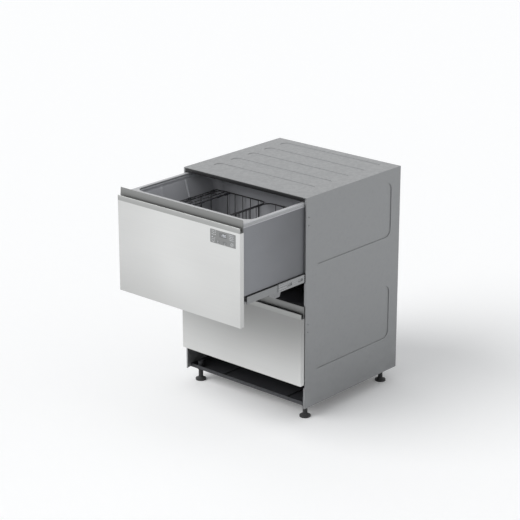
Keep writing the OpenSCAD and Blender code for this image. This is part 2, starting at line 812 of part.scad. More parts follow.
module tub() {
    under_z = -tub_depth - tub_wall;
    rib_ys = [for (y = [rib_y0 - rib_pitch:rib_pitch:cavity_y1 - tub_corner])
              if (y > cavity_y0 + tub_corner) y];
    gusset_ys = [for (i = [0:3]) door_t + 80 + i * (tub_back_y - door_t - 160) / 3];
    difference() {
        union() {
            ring(tub_rim, tub_cavity, -rim_t, rim_t);
            ring(tub_rim, [rim_x - skirt_t, door_t + skirt_t, tub_back_y - skirt_t, 9],
                 -rim_skirt, rim_skirt - 1);
            ring(tub_outer, tub_cavity, under_z, -under_z - 1);
            plate(-wall_x + 1, cavity_y0 - tub_wall + 1, wall_x - 1, cavity_y1 + tub_wall - 1,
                  tub_corner, under_z, tub_wall);
            translate([0, mid_y, sump_floor - tub_wall])
                cylinder(h = sump_depth + tub_wall + 1, d = sump_d + 2 * tub_wall, $fn = 96);
            // ribs on the long walls, inside the cavity
            both_sides() for (y = rib_ys)
                box([cavity_x - rib_rise, y - rib_w / 2, -tub_depth - 1], [cavity_x + 1, y + rib_w / 2, -22]);
            // webs under the rim and out to the side skins
            both_sides() for (y = gusset_ys)
                box([wall_x - 1, y - 1.5, -rim_skirt - 70], [skin_x - skin_t, y + 1.5, -1]);
            for (x = [-150:100:150])
                box([x - 1.5, cavity_y1 + 1, -60], [x + 1.5, tub_back_y - skirt_t - 0.5, -1]);
            // arms that carry the door
            both_sides() for (x = [60, wall_x - 44])
                box([x - 2, door_t, z_seam - handle_leg - 200],
                    [x + 2, cavity_y0 - 1, z_seam - handle_leg - 4]);
            // grid under the floor
            for (i = [-3:3]) let (x = i * (wall_x - 69) / 3)
                box([x - 1.5, cavity_y0 + 8, under_z - 6], [x + 1.5, cavity_y1 - 8, under_z + 1]);
            for (y = [cavity_y0 + 50:80:cavity_y1 - 30])
                box([-wall_x + 12, y - 1.5, under_z - 6], [wall_x - 12, y + 1.5, under_z + 1]);
        }
        translate([0, mid_y, sump_floor]) cylinder(h = sump_depth + tub_wall + 10, d = sump_d, $fn = 96);
        translate([0, mid_y, sump_floor - tub_wall - 1])
            cylinder(h = tub_wall + 2, r = shaft_r + 1.5, $fn = 48);
        // wide shallow step round the sump
        plate(-cavity_x + step_in, cavity_y0 + step_in, cavity_x - step_in, cavity_y1 - step_in,
              tub_corner + 6, floor_z, 3);
    }
}

// Sheets at both sides of the drawer, with a flange along the bottom
module side_skins() {
    y0 = door_t + 1;
    y1 = tub_back_y - 4;
    z1 = -rim_skirt;
    z0 = z1 - skin_h;
    flange = 13;
    both_sides() difference() {
        union() {
            box([skin_x - skin_t, y0, z0], [skin_x, y1, z1]);
            box([skin_x - flange, y0, z0], [skin_x - 1, y1, z0 + 2]);
        }
        // rounded lower corners
        for (c = [[y0, 0], [y1, 90]]) skin_corner(c[0], z0, c[1]);
    }
}

module skin_corner(y, z, a) {
    r = 5;
    s = a == 0 ? 1 : -1;
    along_x_at(skin_x - skin_t - 1, skin_t + 2) polygon(concat(
        [[y - s, z - 1], [y - s, z + r]],
        arc(y + s * r, z + r, r, a == 0 ? 180 : 0, a == 0 ? 270 : -90, 5), [[y + s * r, z - 1]]));
}

/* ---- what lies in the tub ---- */

// Closed loop of round wire with bent corners, flat at height z
module wire_loop(x0, y0, x1, y1, r, z, d) {
    for (s = [[x0 + r, y0, x1 - r, y0], [x0 + r, y1, x1 - r, y1],
              [x0, y0 + r, x0, y1 - r], [x1, y0 + r, x1, y1 - r]])
        wire([s[0], s[1], z], [s[2], s[3], z], d);
    for (c = [[x1 - r, y1 - r, 0], [x0 + r, y1 - r, 90], [x0 + r, y0 + r, 180], [x1 - r, y0 + r, 270]])
        translate([c[0], c[1], z]) rotate([0, 0, c[2]])
            rotate_extrude(angle = 90, $fn = 48) translate([r, 0]) circle(d = d, $fn = wire_sides);
}

// Right half of the base racks, with its tine rows at the given shares of its width
module base_rack_half(row_shares) {
    off = (rail_d + wire_d) / 2 - bite;
    xs = [for (i = [1:5]) rack_x0 + i * rack_w / 6];
    ys = [for (i = [1:6]) rack_y0 + i * rack_d / 7];
    rows = [for (share = row_shares) rack_x0 + rack_w * share];
    tine_y0 = (rack_y0 + rack_y1) / 2 - tine_pitch * (tine_count - 1) / 2;
    wire_loop(rack_x0, rack_y0, rack_x1, rack_y1, rack_r, rail_top, rail_d);
    wire_loop(rack_x0, rack_y0, rack_x1, rack_y1, rack_r, (rail_top + grid_z) / 2, wire_d + 0.6);
    wire_loop(rack_x0, rack_y0, rack_x1, rack_y1, rack_r, grid_z, rail_d);
    // wires up the four walls, bent inwards under the floor of the rack
    for (x = xs) {
        for (y = [rack_y0 + off, rack_y1 - off]) wire([x, y, grid_z - 1], [x, y, rail_top + 1], wire_d);
        wire([x, rack_y0, grid_z], [x, rack_y1, grid_z], wire_d);
    }
    for (y = ys) {
        for (x = [rack_x0 + off, rack_x1 - off]) wire([x, y, grid_z - 1], [x, y, rail_top + 1], wire_d);
        wire([rack_x0, y, grid_z + grid_off], [rack_x1, y, grid_z + grid_off], wire_d);
    }
    // tine rows, each on its own long wire
    for (x = rows) {
        wire([x, rack_y0, grid_z + 2 * grid_off], [x, rack_y1, grid_z + 2 * grid_off], wire_d);
        for (i = [0:tine_count - 1])
            translate([x, tine_y0 + i * tine_pitch, grid_z + grid_off]) rotate([0, -tine_lean, 0]) tine();
    }
    // feet on the floor of the tub
    for (x = [rack_x0 + 30, rack_x1 - 30], y = [rack_y0 + 1, rack_y1 - 1])
        wire([x, y, -tub_depth + 0.2], [x, y, grid_z], rail_d + 2);
}

module tine() {
    cylinder(h = tine_h, d = wire_d, $fn = wire_sides);
}

// Both halves, with the clips that carry the hinge of the cup rack. The middle row
// of tines is left out at the left, where the cutlery basket stands.
module base_racks() {
    base_rack_half(tine_rows);
    mirror([1, 0, 0]) base_rack_half([tine_rows[0], tine_rows[2]]);
    for (i = [0, floor(cup_wires / 2), cup_wires - 2]) rack_clip(cup_y0 + (i + 0.5) * cup_pitch);
}

module rack_clip(y) {
    z0 = rail_top - 4;
    z1 = hinge_z + hinge_d / 2 + 2.2;
    difference() {
        translate([-hinge_x, y, 0]) along_y(-clip_w / 2, clip_w)
            polygon(concat([[-5, z0], [5, z0]], arc(0, z1 - 5, 5, 0, 180)));
        translate([-hinge_x, y - clip_w, hinge_z]) rotate([-90, 0, 0])
            cylinder(h = 2 * clip_w, d = hinge_d + 2 * pivot, $fn = 32);
    }
}

// Folding rack for cups: a hinge rod, a mid wire, cross wires and an edge bar with
// sleeves that the stems of glasses lean on
module cup_rack() {
    x0 = -hinge_x;
    x1 = x0 + cup_rack_w;
    wire([x0, cup_y0 - 3, hinge_z], [x0, cup_y1 + 3, hinge_z], hinge_d);
    wire([x1, cup_y0 - 3, hinge_z], [x1, cup_y1 + 3, hinge_z], hinge_d + 1);
    wire([x0 + cup_rack_w * 0.55, cup_y0, hinge_z - wire_d + bite],
         [x0 + cup_rack_w * 0.55, cup_y1, hinge_z - wire_d + bite], wire_d);
    for (i = [0:cup_wires - 1]) let (y = cup_y0 + i * cup_pitch)
        wire([x0, y, hinge_z], [x1, y, hinge_z], wire_d);
    for (i = [0:cup_wires - 2]) let (y = cup_y0 + (i + 0.5) * cup_pitch)
        translate([x1, y - sleeve_l / 2, hinge_z]) rotate([-90, 0, 0])
            cylinder(h = sleeve_l, d = sleeve_d, $fn = 12);
}

// Basket for cutlery: slotted walls, two partitions and a carrying bow
module cutlery_basket() {
    x0 = basket_x - basket_w / 2;
    x1 = basket_x + basket_w / 2;
    y0 = basket_y;
    y1 = basket_y + basket_l;
    z0 = grid_z + grid_off + wire_d / 2 + 0.2;
    z1 = z0 + basket_h;
    wall = 2;
    slots = 9;
    end = 8;
    pitch = (basket_l - 2 * end) / slots;
    slot_rows = [10, 48, 86];
    slot_h = 28;
    slot_w = 13;
    cells = 3;
    bow_r = 42;
    difference() {
        plate(x0, y0, x1, y1, 7, z0, basket_h);
        for (i = [0:cells - 1])
            plate(x0 + wall, y0 + wall + i * (basket_l - wall) / cells,
                  x1 - wall, y0 + (i + 1) * (basket_l - wall) / cells, 5, z0 + wall, basket_h);
        for (i = [0:slots - 1], h = slot_rows)
            box([x0 - 1, y0 + end + i * pitch + 2.5, z0 + h],
                [x1 + 1, y0 + end + (i + 1) * pitch - 2.5, z0 + h + slot_h]);
        for (i = [0:2], h = slot_rows)
            box([x0 + end + i * 16, y0 - 1, z0 + h], [x0 + end + i * 16 + slot_w, y1 + 1, z0 + h + slot_h]);
        for (i = [0:slots - 1], j = [0:2])
            box([x0 + 7 + j * 17, y0 + 9 + i * pitch, z0 - 1],
                [x0 + 7 + j * 17 + slot_w, y0 + 5 + (i + 1) * pitch, z0 + wall + 1]);
    }
    // bow
    translate([basket_x - 4, (y0 + y1) / 2, z1 - 22]) rotate([90, 0, 90]) difference() {
        linear_extrude(height = 8) polygon(arc(0, 0, bow_r, 0, 180, 12));
        translate([0, 0, -1]) linear_extrude(height = 10)
            polygon(concat([[bow_r - 6, -1]], arc(0, 0, bow_r - 6, 0, 180, 12), [[6 - bow_r, -1]]));
    }
}

// Turning arm with two hollow wings and a domed hub
module spray_arm() {
    translate([0, mid_y, arm_z]) difference() {
        union() {
            cylinder(h = arm_t, r = hub_r, $fn = 64);
            translate([0, 0, arm_t - e]) cylinder(h = 4, r1 = hub_r - 3, r2 = hub_r - 12, $fn = 64);
            for (a = arm_angles) rotate([0, 0, a]) wing();
        }
        translate([0, 0, -1]) cylinder(h = arm_t - 1, r = shaft_r + pivot, $fn = 48);
        // spray holes
        for (a = arm_angles, i = [0:5]) rotate([0, 0, a])
            translate([58 + i * 23, i % 2 == 0 ? 3 : -2, arm_t - 3]) cylinder(h = 5, r = 1.6, $fn = 16);
    }
}

// Wing in three steps that get narrower towards the top
module wing() {
    for (s = [[0, arm_t - 5], [3, arm_t - 3], [6.5, arm_t - 0.8]])
        translate([0, 0, wing_z + s[0] / 10]) linear_extrude(height = s[1] - wing_z - s[0] / 10)
            polygon(tapered(hub_r - 6, wing_root_r - s[0], arm_r - wing_tip_r, wing_tip_r - s[0]));
}

// Plate over the sump: slots in rings round the hub and a seat for the filter
module filter_plate() {
    holes = 20;
    translate([0, mid_y, floor_z]) difference() {
        union() {
            cylinder(h = plate_z, r = plate_r, $fn = 96);
            difference() {
                cylinder(h = plate_z + 2, r = plate_r, $fn = 96);
                translate([0, 0, -1]) cylinder(h = plate_z + 5, r = plate_r - 4, $fn = 96);
            }
            translate([filter_x, 0, 0]) cylinder(h = plate_z + 2, r = filter_r + 5, $fn = 64);
        }
        translate([0, 0, -1]) cylinder(h = plate_z + 4, r = shaft_r + 4, $fn = 48);
        translate([filter_x, 0, -1]) cylinder(h = plate_z + 5, r = filter_r + fit, $fn = 64);
        for (k = [0:holes - 1]) rotate([0, 0, (k + 0.5) * 360 / holes]) {
            box([96, -2, -1], [126, 2, plate_z + 1]);
            box([136, -3, -1], [172, 3, plate_z + 1]);
        }
    }
}

// Cup filter that drops through the plate into the sump
module drain_filter() {
    bars = 16;
    h = floor_z + plate_z + 2 - sump_floor - fit;
    translate([filter_x, mid_y, sump_floor + fit]) {
        difference() {
            cylinder(h = h, r = filter_r, $fn = 64);
            translate([0, 0, 2]) cylinder(h = h, r = filter_r - 2, $fn = 64);
            for (k = [0:bars / 2 - 1]) rotate([0, 0, k * 360 / bars])
                box([-filter_r - 1, -2.6, 4], [filter_r + 1, 2.6, h - 9]);
        }
        box([-filter_r + 1, -1.5, h - 6], [filter_r - 1, 1.5, h]);
    }
}

// Motor under the sump with cooling fins, lugs and the shaft for the arm
module motor() {
    z0 = sump_floor - tub_wall - motor_h;
    fins = 18;
    translate([0, mid_y, z0]) {
        difference() {
            union() {
                cylinder(h = motor_h, r = motor_r - 4, $fn = 96);
                for (k = [0:fins - 1]) rotate([0, 0, k * 360 / fins])
                    box([motor_r - 12, -1.5, 6], [motor_r, 1.5, motor_h - 6]);
                for (k = [0:2]) rotate([0, 0, 30 + k * 120])
                    box([motor_r - 20, -9, motor_h - 5], [motor_r + 12, 9, motor_h]);
            }
            translate([0, 0, -1]) cylinder(h = 7, r = motor_r - 22, $fn = 64);
            for (k = [0:2]) rotate([0, 0, 30 + k * 120])
                translate([motor_r + 4, 0, motor_h - 6]) cylinder(h = 8, r = 2.5, $fn = 24);
        }
        cylinder(h = 7, r = 14, $fn = 48);
        translate([0, 0, motor_h - 1])
            cylinder(h = arm_z + arm_t - 5 - z0 - motor_h + 1, r = shaft_r, $fn = 48);
    }
}

// Detergent and rinse aid dispenser on the front wall of the tub
module dispenser() {
    y0 = cavity_y0;
    y1 = y0 + disp_t;
    z0 = disp_z - disp_h;
    rail_z = cup_h / 2 + 4;
    mid_z = disp_z - disp_h / 2;
    difference() {
        union() {
            along_y_plate(y0, disp_face, [-disp_w / 2, z0, disp_w / 2, disp_z], 10);
            // upper and lower guide of the lid
            for (s = [-1, 1]) box([cup_x - cup_w / 2 - 5, y0 + 6, mid_z + s * rail_z - 2],
                                  [cup_x + cup_w / 2 + slide_travel + 4, y1, mid_z + s * rail_z + 2]);
            for (s = [-1, 1]) box([cup_x - cup_w / 2 - 5, y1 - guide_t, mid_z + s * (rail_z - 2) - 2],
                                  [cup_x + cup_w / 2 + slide_travel + 4, y1, mid_z + s * (rail_z - 2) + 2]);
            // cap of the rinse aid tank
            translate([disp_w / 2 - 17, y1 - 6, mid_z]) rotate([-90, 0, 0]) cylinder(h = 6, r = 13, $fn = 48);
        }
        along_y_plate(y0 + disp_face - cup_depth, 20, [cup_x - cup_w / 2 + 2, mid_z - cup_h / 2 + 2,
                                                     cup_x + cup_w / 2 - 2, mid_z + cup_h / 2 - 2], 5);
        translate([disp_w / 2 - 17, y1 - 2, mid_z]) rotate([-90, 0, 0]) difference() {
            cylinder(h = 3, r = 10, $fn = 48);
            translate([-10, -1.5, -1]) cube([20, 3, 5]);
        }
    }
}

// Plate with rounded corners that stands across Y: area is [x0, z0, x1, z1]
module along_y_plate(y, l, area, r) {
    along_y(y, l) polygon(rounded(area[0], area[1], area[2], area[3], r));
}

// Lid of the detergent cup: it slides sideways in the two guides
module dispenser_lid() {
    y1 = cavity_y0 + disp_face + fit + slide_t;
    mid_z = disp_z - disp_h / 2;
    h = cup_h / 2 + 2 - fit;
    area = [cup_x - cup_w / 2 - 3, mid_z - h, cup_x + cup_w / 2 + 1, mid_z + h];
    along_y_plate(y1 - slide_t, slide_t, area, 2);
    for (i = [0:3]) box([cup_x - 9 + i * 5, y1 - 0.5, mid_z - 9], [cup_x - 7 + i * 5, y1 + 1.4, mid_z + 9]);
}

/* ---- controls ---- */

// Cut through the fascia for a key: round when size is a number, a bar otherwise
module key_shape(size, grow, z0, h) {
    if (is_num(size)) translate([0, 0, z0]) cylinder(h = h, r = size / 2 + grow, $fn = 48);
    else translate([0, 0, z0]) linear_extrude(height = h)
        polygon(rounded(-size[0] / 2 - grow, -size[1] / 2 - grow,
                        size[0] / 2 + grow, size[1] / 2 + grow, 2 + grow));
}

// Frame of the fascia: local X right, local Y up, local Z out of the front
module on_fascia(x, z) {
    translate([fascia_x + x, 0, fascia_z + z]) rotate([90, 0, 0]) children();
}

module control_fascia() {
    color([0.36, 0.37, 0.38]) in_upper() difference() {
        translate([fascia_x, 0, fascia_z]) along_y(0, fascia_t)
            polygon(rounded(-fascia_w / 2, -fascia_h / 2, fascia_w / 2, fascia_h / 2, 2.2));
        for (k = [[power_x, round_key], [program_x, bar_key], [option_x, bar_key], [start_x, round_key]])
            on_fascia(k[0], key_z) key_shape(k[1], key_gap, -fascia_t - 1, fascia_t + 3);
        on_fascia(window_at[0], window_at[1]) key_shape(window_size, fit / 2, -fascia_t - 1, fascia_t + 3);
    }
}

module display_window() {
    color([0.08, 0.09, 0.1]) in_upper() on_fascia(window_at[0], window_at[1]) {
        key_shape(window_size, 0, -fascia_t - 0.5, fascia_t + 0.4);
        key_shape(window_size, 2, -fascia_t - 1.2, 1.2);
    }
}

// Key with a flange that keeps it behind the fascia
module key(x, size) {
    color([0.3, 0.31, 0.32]) in_upper() on_fascia(x, key_z) {
        key_shape(size, 0, -fascia_t - key_back - key_flange + e, fascia_t + key_flange + key_back - e);
        key_shape(size, 1, -fascia_t - key_back - key_flange, key_flange);
    }
}

module power_key() { key(power_x, round_key); }
module program_key() { key(program_x, bar_key); }
module option_key() { key(option_x, bar_key); }
module start_key() { key(start_x, round_key); }

/* ---- the two drawers ---- */

module upper_front_panel() { color("silver") in_upper() front_panel(upper_front_h, true); }
module upper_handle() { color("darkgray") in_upper() handle(); }
module upper_door_frame() { color([0.2, 0.2, 0.22]) in_upper() door_frame(upper_front_h, true); }
module upper_tub() { color([0.55, 0.57, 0.6]) in_upper() tub(); }
module upper_side_skins() { color([0.5, 0.52, 0.56]) in_upper() side_skins(); }
module upper_base_racks() { color([0.15, 0.15, 0.17]) in_upper() base_racks(); }
module upper_cup_rack() { color([0.15, 0.15, 0.17]) in_upper() cup_rack(); }
module upper_cutlery_basket() { color([0.3, 0.31, 0.34]) in_upper() cutlery_basket(); }
module upper_spray_arm() { color([0.6, 0.62, 0.65]) in_upper() spray_arm(); }
module upper_filter_plate() { color([0.6, 0.62, 0.65]) in_upper() filter_plate(); }
module upper_drain_filter() { color([0.4, 0.42, 0.45]) in_upper() drain_filter(); }
module upper_motor() { color([0.2, 0.2, 0.22]) in_upper() motor(); }
module upper_dispenser() { color([0.7, 0.71, 0.73]) in_upper() dispenser(); }
module upper_dispenser_lid() { color([0.4, 0.42, 0.45]) in_upper() dispenser_lid(); }

module lower_front_panel() { color("silver") in_lower() front_panel(lower_front_h); }
module lower_handle() { color("darkgray") in_lower() handle(); }
module lower_door_frame() { color([0.2, 0.2, 0.22]) in_lower() door_frame(lower_front_h); }
module lower_tub() { color([0.55, 0.57, 0.6]) in_lower() tub(); }
module lower_side_skins() { color([0.5, 0.52, 0.56]) in_lower() side_skins(); }
module lower_base_racks() { color([0.15, 0.15, 0.17]) in_lower() base_racks(); }
module lower_cup_rack() { color([0.15, 0.15, 0.17]) in_lower() cup_rack(); }
module lower_cutlery_basket() { color([0.3, 0.31, 0.34]) in_lower() cutlery_basket(); }
module lower_spray_arm() { color([0.6, 0.62, 0.65]) in_lower() spray_arm(); }
module lower_filter_plate() { color([0.6, 0.62, 0.65]) in_lower() filter_plate(); }
module lower_drain_filter() { color([0.4, 0.42, 0.45]) in_lower() drain_filter(); }
module lower_motor() { color([0.2, 0.2, 0.22]) in_lower() motor(); }
module lower_dispenser() { color([0.7, 0.71, 0.73]) in_lower() dispenser(); }
module lower_dispenser_lid() { color([0.4, 0.42, 0.45]) in_lower() dispenser_lid(); }

chassis_left_side();
chassis_right_side();
chassis_back_panel();
chassis_top_panel();
front_top_trim();
middle_panel();
middle_rail();
base_tray();
upper_tracks();
lower_tracks();
lid_actuators();
water_inlet_valve();
drain_connector();
mounting_brackets();
foot_front_left();
foot_front_right();
foot_rear_left();
foot_rear_right();
upper_lid();
upper_lid_seal();
lower_lid();
lower_lid_seal();
upper_carriages();
lower_carriages();
upper_front_panel();
upper_handle();
upper_door_frame();
upper_tub();
upper_side_skins();
upper_rails();
upper_base_racks();
upper_cup_rack();
upper_cutlery_basket();
upper_spray_arm();
upper_filter_plate();
upper_drain_filter();
upper_motor();
upper_dispenser();
upper_dispenser_lid();
control_fascia();
display_window();
power_key();
program_key();
option_key();
start_key();
lower_front_panel();
lower_handle();
lower_door_frame();
lower_tub();
lower_side_skins();
lower_rails();
lower_base_racks();
lower_cup_rack();
lower_cutlery_basket();
lower_spray_arm();
lower_filter_plate();
lower_drain_filter();
lower_motor();
lower_dispenser();
lower_dispenser_lid();
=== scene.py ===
"""Dresses the double drawer dishwasher: steel fronts, moulded tubs, coated wire racks and controls.

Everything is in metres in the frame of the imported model. A drawer's own frame has its origin at the
middle of the closed front, level with the rim of the tub: X right, Y back, Z up.
"""

import math

import bmesh
import bpy
import numpy as np
from bpy.props import FloatProperty, FloatVectorProperty, IntProperty, PointerProperty
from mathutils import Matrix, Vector


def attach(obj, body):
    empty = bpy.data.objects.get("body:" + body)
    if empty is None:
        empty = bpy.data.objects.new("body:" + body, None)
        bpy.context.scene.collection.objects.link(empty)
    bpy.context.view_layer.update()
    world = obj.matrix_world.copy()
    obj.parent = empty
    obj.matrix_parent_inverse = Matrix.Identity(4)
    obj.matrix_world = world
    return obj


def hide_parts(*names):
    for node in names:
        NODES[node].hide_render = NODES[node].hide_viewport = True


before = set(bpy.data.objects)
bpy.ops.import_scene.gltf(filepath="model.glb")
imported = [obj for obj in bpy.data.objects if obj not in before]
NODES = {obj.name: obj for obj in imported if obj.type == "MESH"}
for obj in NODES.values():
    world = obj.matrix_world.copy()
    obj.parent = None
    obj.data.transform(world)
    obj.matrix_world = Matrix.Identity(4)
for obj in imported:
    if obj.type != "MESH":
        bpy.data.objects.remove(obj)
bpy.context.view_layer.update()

bl_info = {
    "name": "Double drawer dishwasher",
    "version": (1, 0, 0),
    "blender": (4, 5, 0),
    "location": "View3D > Sidebar > Dishwasher",
    "description": "Finishes and fine pieces of a dishwasher with two drawers",
    "category": "Object",
}

MM = 0.001
# Front and rim of the two drawers, in metres: the upper one stands open
DRAWERS = {"upper": (0.0, -0.450, 0.846), "lower": (0.0, -0.123, 0.437)}
RIM_X, CAVITY_X, CAVITY_Y0, CAVITY_Y1 = 290.0, 245.0, 71.0, 490.0
RIM_Y0, RIM_Y1 = 20.0, 520.0
TUB_DEPTH, FLOOR_Z, SUMP_Z, SUMP_R, MID_Y = 305.0, -306.5, -325.0, 75.0, 280.5
RIB_YS, RIB_W, RIB_RISE = (203.0, 333.0), 7.0, 3.0
# The long walls lean outwards from FLARE_Z up to MOUTH_Z and leave a narrow rim
MOUTH_X, MOUTH_Z, FLARE_Z = 276.0, -22.0, -115.0
TUB_CORNER, RIM_CORNER, TUB_WALL, SKIRT_X = 34.0, 12.0, 4.0, 284.0
RACK_X0, RACK_X1, RACK_Y0, RACK_Y1 = 4.0, 238.0, 95.0, 483.0
RAIL_TOP, GRID_Z, RAIL_D, WIRE_D = -90.0, -272.0, 4.5, 3.2
HINGE_X, HINGE_Z, CUP_Y0, CUP_Y1, CUP_PITCH = 236.0, -81.8, 117.0, 461.0, 43.0
CUP_RACK_W = 68.0
FASCIA_X, FASCIA_Z = 218.5, -60.5


# ---- shapes ----

def grid_faces(rows, cols, wrap_rows=False, wrap_cols=False):
    """Quads of a grid of points numbered row by row; a wrapped direction closes on its start."""
    i, j = np.meshgrid(np.arange(rows if wrap_rows else rows - 1),
                       np.arange(cols if wrap_cols else cols - 1), indexing="ij")
    k, m = (i + 1) % rows, (j + 1) % cols
    return np.stack([i * cols + j, i * cols + m, k * cols + m, k * cols + j], -1).reshape(-1, 4)


def bent(corners, radius, steps=5, closed=False):
    """Path through corners whose bends are arcs tangent to both legs: points at equal angles on
    the circle between the two points where it touches them."""
    p = np.asarray(corners, float)
    before, after = np.roll(p, 1, 0), np.roll(p, -1, 0)
    if not closed:
        p0, p1 = p[0], p[-1]
        before, p, after = p[:-2], p[1:-1], p[2:]
    u, v = before - p, after - p
    u /= np.linalg.norm(u, axis=1, keepdims=True)
    v /= np.linalg.norm(v, axis=1, keepdims=True)
    half = np.arccos(np.clip((u * v).sum(1), -1, 1)) / 2
    leg = (radius / np.tan(half))[:, None]
    middle = (u + v) / np.linalg.norm(u + v, axis=1, keepdims=True)
    centre = p + middle * (radius / np.sin(half))[:, None]
    a, b = p + u * leg - centre, p + v * leg - centre
    sweep = (math.pi - 2 * half)[:, None, None]
    t = np.linspace(0, 1, steps + 1)[None, :, None]
    turned = np.sin((1 - t) * sweep) * a[:, None] + np.sin(t * sweep) * b[:, None]
    arcs = centre[:, None] + turned / np.sin(sweep)
    arcs = arcs.reshape(-1, 3)
    return arcs if closed else np.vstack([p0, arcs, p1])


def tube(path, radius, normal, sides=8, closed=False):
    """Round wire: rings of the given radius round a path that lies in the plane square to normal.
    Returns its points and faces; an open wire gets a cap at each end."""
    path, normal = np.asarray(path, float), np.asarray(normal, float)
    radius = np.broadcast_to(np.asarray(radius, float), len(path))
    ahead = (np.roll(path, -1, 0) - np.roll(path, 1, 0)) if closed else np.gradient(path, axis=0)
    ahead /= np.linalg.norm(ahead, axis=1, keepdims=True)
    across = np.cross(ahead, normal)
    across /= np.linalg.norm(across, axis=1, keepdims=True)
    a = np.linspace(0, 2 * math.pi, sides, endpoint=False)[None, :, None]
    rings = path[:, None] + radius[:, None, None] * (np.cos(a) * normal + np.sin(a) * across[:, None])
    faces = grid_faces(len(path), sides, wrap_rows=closed, wrap_cols=True).tolist()
    if not closed:
        last = (len(path) - 1) * sides
        faces += [list(range(sides))[::-1], list(range(last, last + sides))]
    return rings.reshape(-1, 3), faces


def revolved(profile, sides=32, axis="Z"):
    """Surface of revolution: the profile's (radius, height) points turned round an axis, with a
    cap over each end that isn't on the axis."""
    profile = np.asarray(profile, float)
    a = np.linspace(0, 2 * math.pi, sides, endpoint=False)[None, :]
    r, h = profile[:, :1], np.broadcast_to(profile[:, 1:], (len(profile), sides))
    x, y = r * np.cos(a), r * np.sin(a)
    points = {"Z": (x, y, h), "Y": (y, h, x), "X": (h, x, y)}[axis]
    faces = grid_faces(len(profile), sides, wrap_cols=True).tolist()
    last = (len(profile) - 1) * sides
    faces += [list(range(sides))[::-1], list(range(last, last + sides))]
    return np.stack(points, -1).reshape(-1, 3), faces


def prism(outline, y0, y1):
    """Flat outline in X and Z carried from y0 to y1, closed at both ends."""
    o = np.asarray(outline, float)
    n = len(o)
    points = np.vstack([np.column_stack([o[:, 0], np.full(n, y), o[:, 1]]) for y in (y0, y1)])
    faces = grid_faces(2, n, wrap_cols=True).tolist()
    return points, faces + [list(range(n))[::-1], list(range(n, 2 * n))]


def arc(x, z, r, a0, a1, n=6):
    """Points on an arc in a plane, angles in degrees."""
    a = np.radians(np.linspace(a0, a1, n + 1))
    return np.column_stack([x + r * np.cos(a), z + r * np.sin(a)])


def rounded(x0, z0, x1, z1, r, n=5):
    """Outline of a rounded rectangle, anticlockwise."""
    return np.vstack([arc(x1 - r, z1 - r, r, 0, 90, n), arc(x0 + r, z1 - r, r, 90, 180, n),
                      arc(x0 + r, z0 + r, r, 180, 270, n), arc(x1 - r, z0 + r, r, 270, 360, n)])


def copies(shape, places):
    """The same shape put at each of several places."""
    points, faces = shape
    places = np.asarray(places, float)
    every = (points[None] + places[:, None]).reshape(-1, 3)
    step = len(points)
    return every, [[i + k * step for i in f] for k in range(len(places)) for f in faces]


def mirrored(shape):
    """The shape on the other side of X = 0, with its faces turned to point outwards again."""
    points, faces = shape
    return points * [-1, 1, 1], [f[::-1] for f in faces]


def joined(shapes):
    """Several shapes as one set of points and faces."""
    points, faces, start = [], [], 0
    for p, f in shapes:
        points.append(p)
        faces += [[i + start for i in face] for face in f]
        start += len(p)
    return np.vstack(points), faces


def piece(name, shape, material, body, drawer=None, smooth=35, outward=True):
    """Object made from a shape in millimetres: in a drawer's frame if one is named, or else in
    the frame of the model. Rides on a CAD body."""
    points, faces = shape
    at = np.array(DRAWERS[drawer]) if drawer else np.zeros(3)
    mesh = bpy.data.meshes.new(name)
    mesh.from_pydata((np.asarray(points) * MM + at).tolist(), [], faces)
    mesh.update()
    if outward:
        bm = bmesh.new()
        bm.from_mesh(mesh)
        bmesh.ops.recalc_face_normals(bm, faces=bm.faces)
        bm.to_mesh(mesh)
        bm.free()
    mesh.materials.append(material)
    mesh.shade_smooth()
    if smooth < 180:
        mesh.set_sharp_from_angle(angle=math.radians(smooth))
    obj = bpy.data.objects.new(name, mesh)
    bpy.context.scene.collection.objects.link(obj)
    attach(obj, body)
    return obj


# ---- finishes ----

def new_material(name):
    """Empty material with its shader: returns the material, its nodes, its links and the shader."""
    m = bpy.data.materials.new(name)
    m.use_nodes = True
    nodes = m.node_tree.nodes
    return m, nodes, m.node_tree.links, nodes["Principled BSDF"]


def pattern(nodes, links, scale, stretch=(1, 1, 1), detail=4, roughness=0.55):
    """Noise on the piece's own coordinates, stretched along the axes."""
    where = nodes.new("ShaderNodeTexCoord")
    mapping = nodes.new("ShaderNodeMapping")
    mapping.inputs["Scale"].default_value = stretch
    noise = nodes.new("ShaderNodeTexNoise")
    noise.inputs["Scale"].default_value = scale
    noise.inputs["Detail"].default_value = detail
    noise.inputs["Roughness"].default_value = roughness
    links.new(where.outputs["Object"], mapping.inputs["Vector"])
    links.new(mapping.outputs["Vector"], noise.inputs["Vector"])
    return noise


def ramp(nodes, links, source, stops):
    """Colour ramp over a source between stops of (position, colour)."""
    r = nodes.new("ShaderNodeValToRGB")
    r.color_ramp.elements[0].position, r.color_ramp.elements[1].position = stops[0][0], stops[-1][0]
    r.color_ramp.elements[0].color = (*stops[0][1], 1)
    r.color_ramp.elements[1].color = (*stops[-1][1], 1)
    for at, colour in stops[1:-1]:
        r.color_ramp.elements.new(at).color = (*colour, 1)
    links.new(source, r.inputs["Fac"])
    return r


def bump(nodes, links, source, shader, strength, distance):
    """Relief from a source on the shader's normal."""
    b = nodes.new("ShaderNodeBump")
    b.inputs["Strength"].default_value = strength
    b.inputs["Distance"].default_value = distance
    links.new(source, b.inputs["Height"])
    links.new(b.outputs["Normal"], shader.inputs["Normal"])


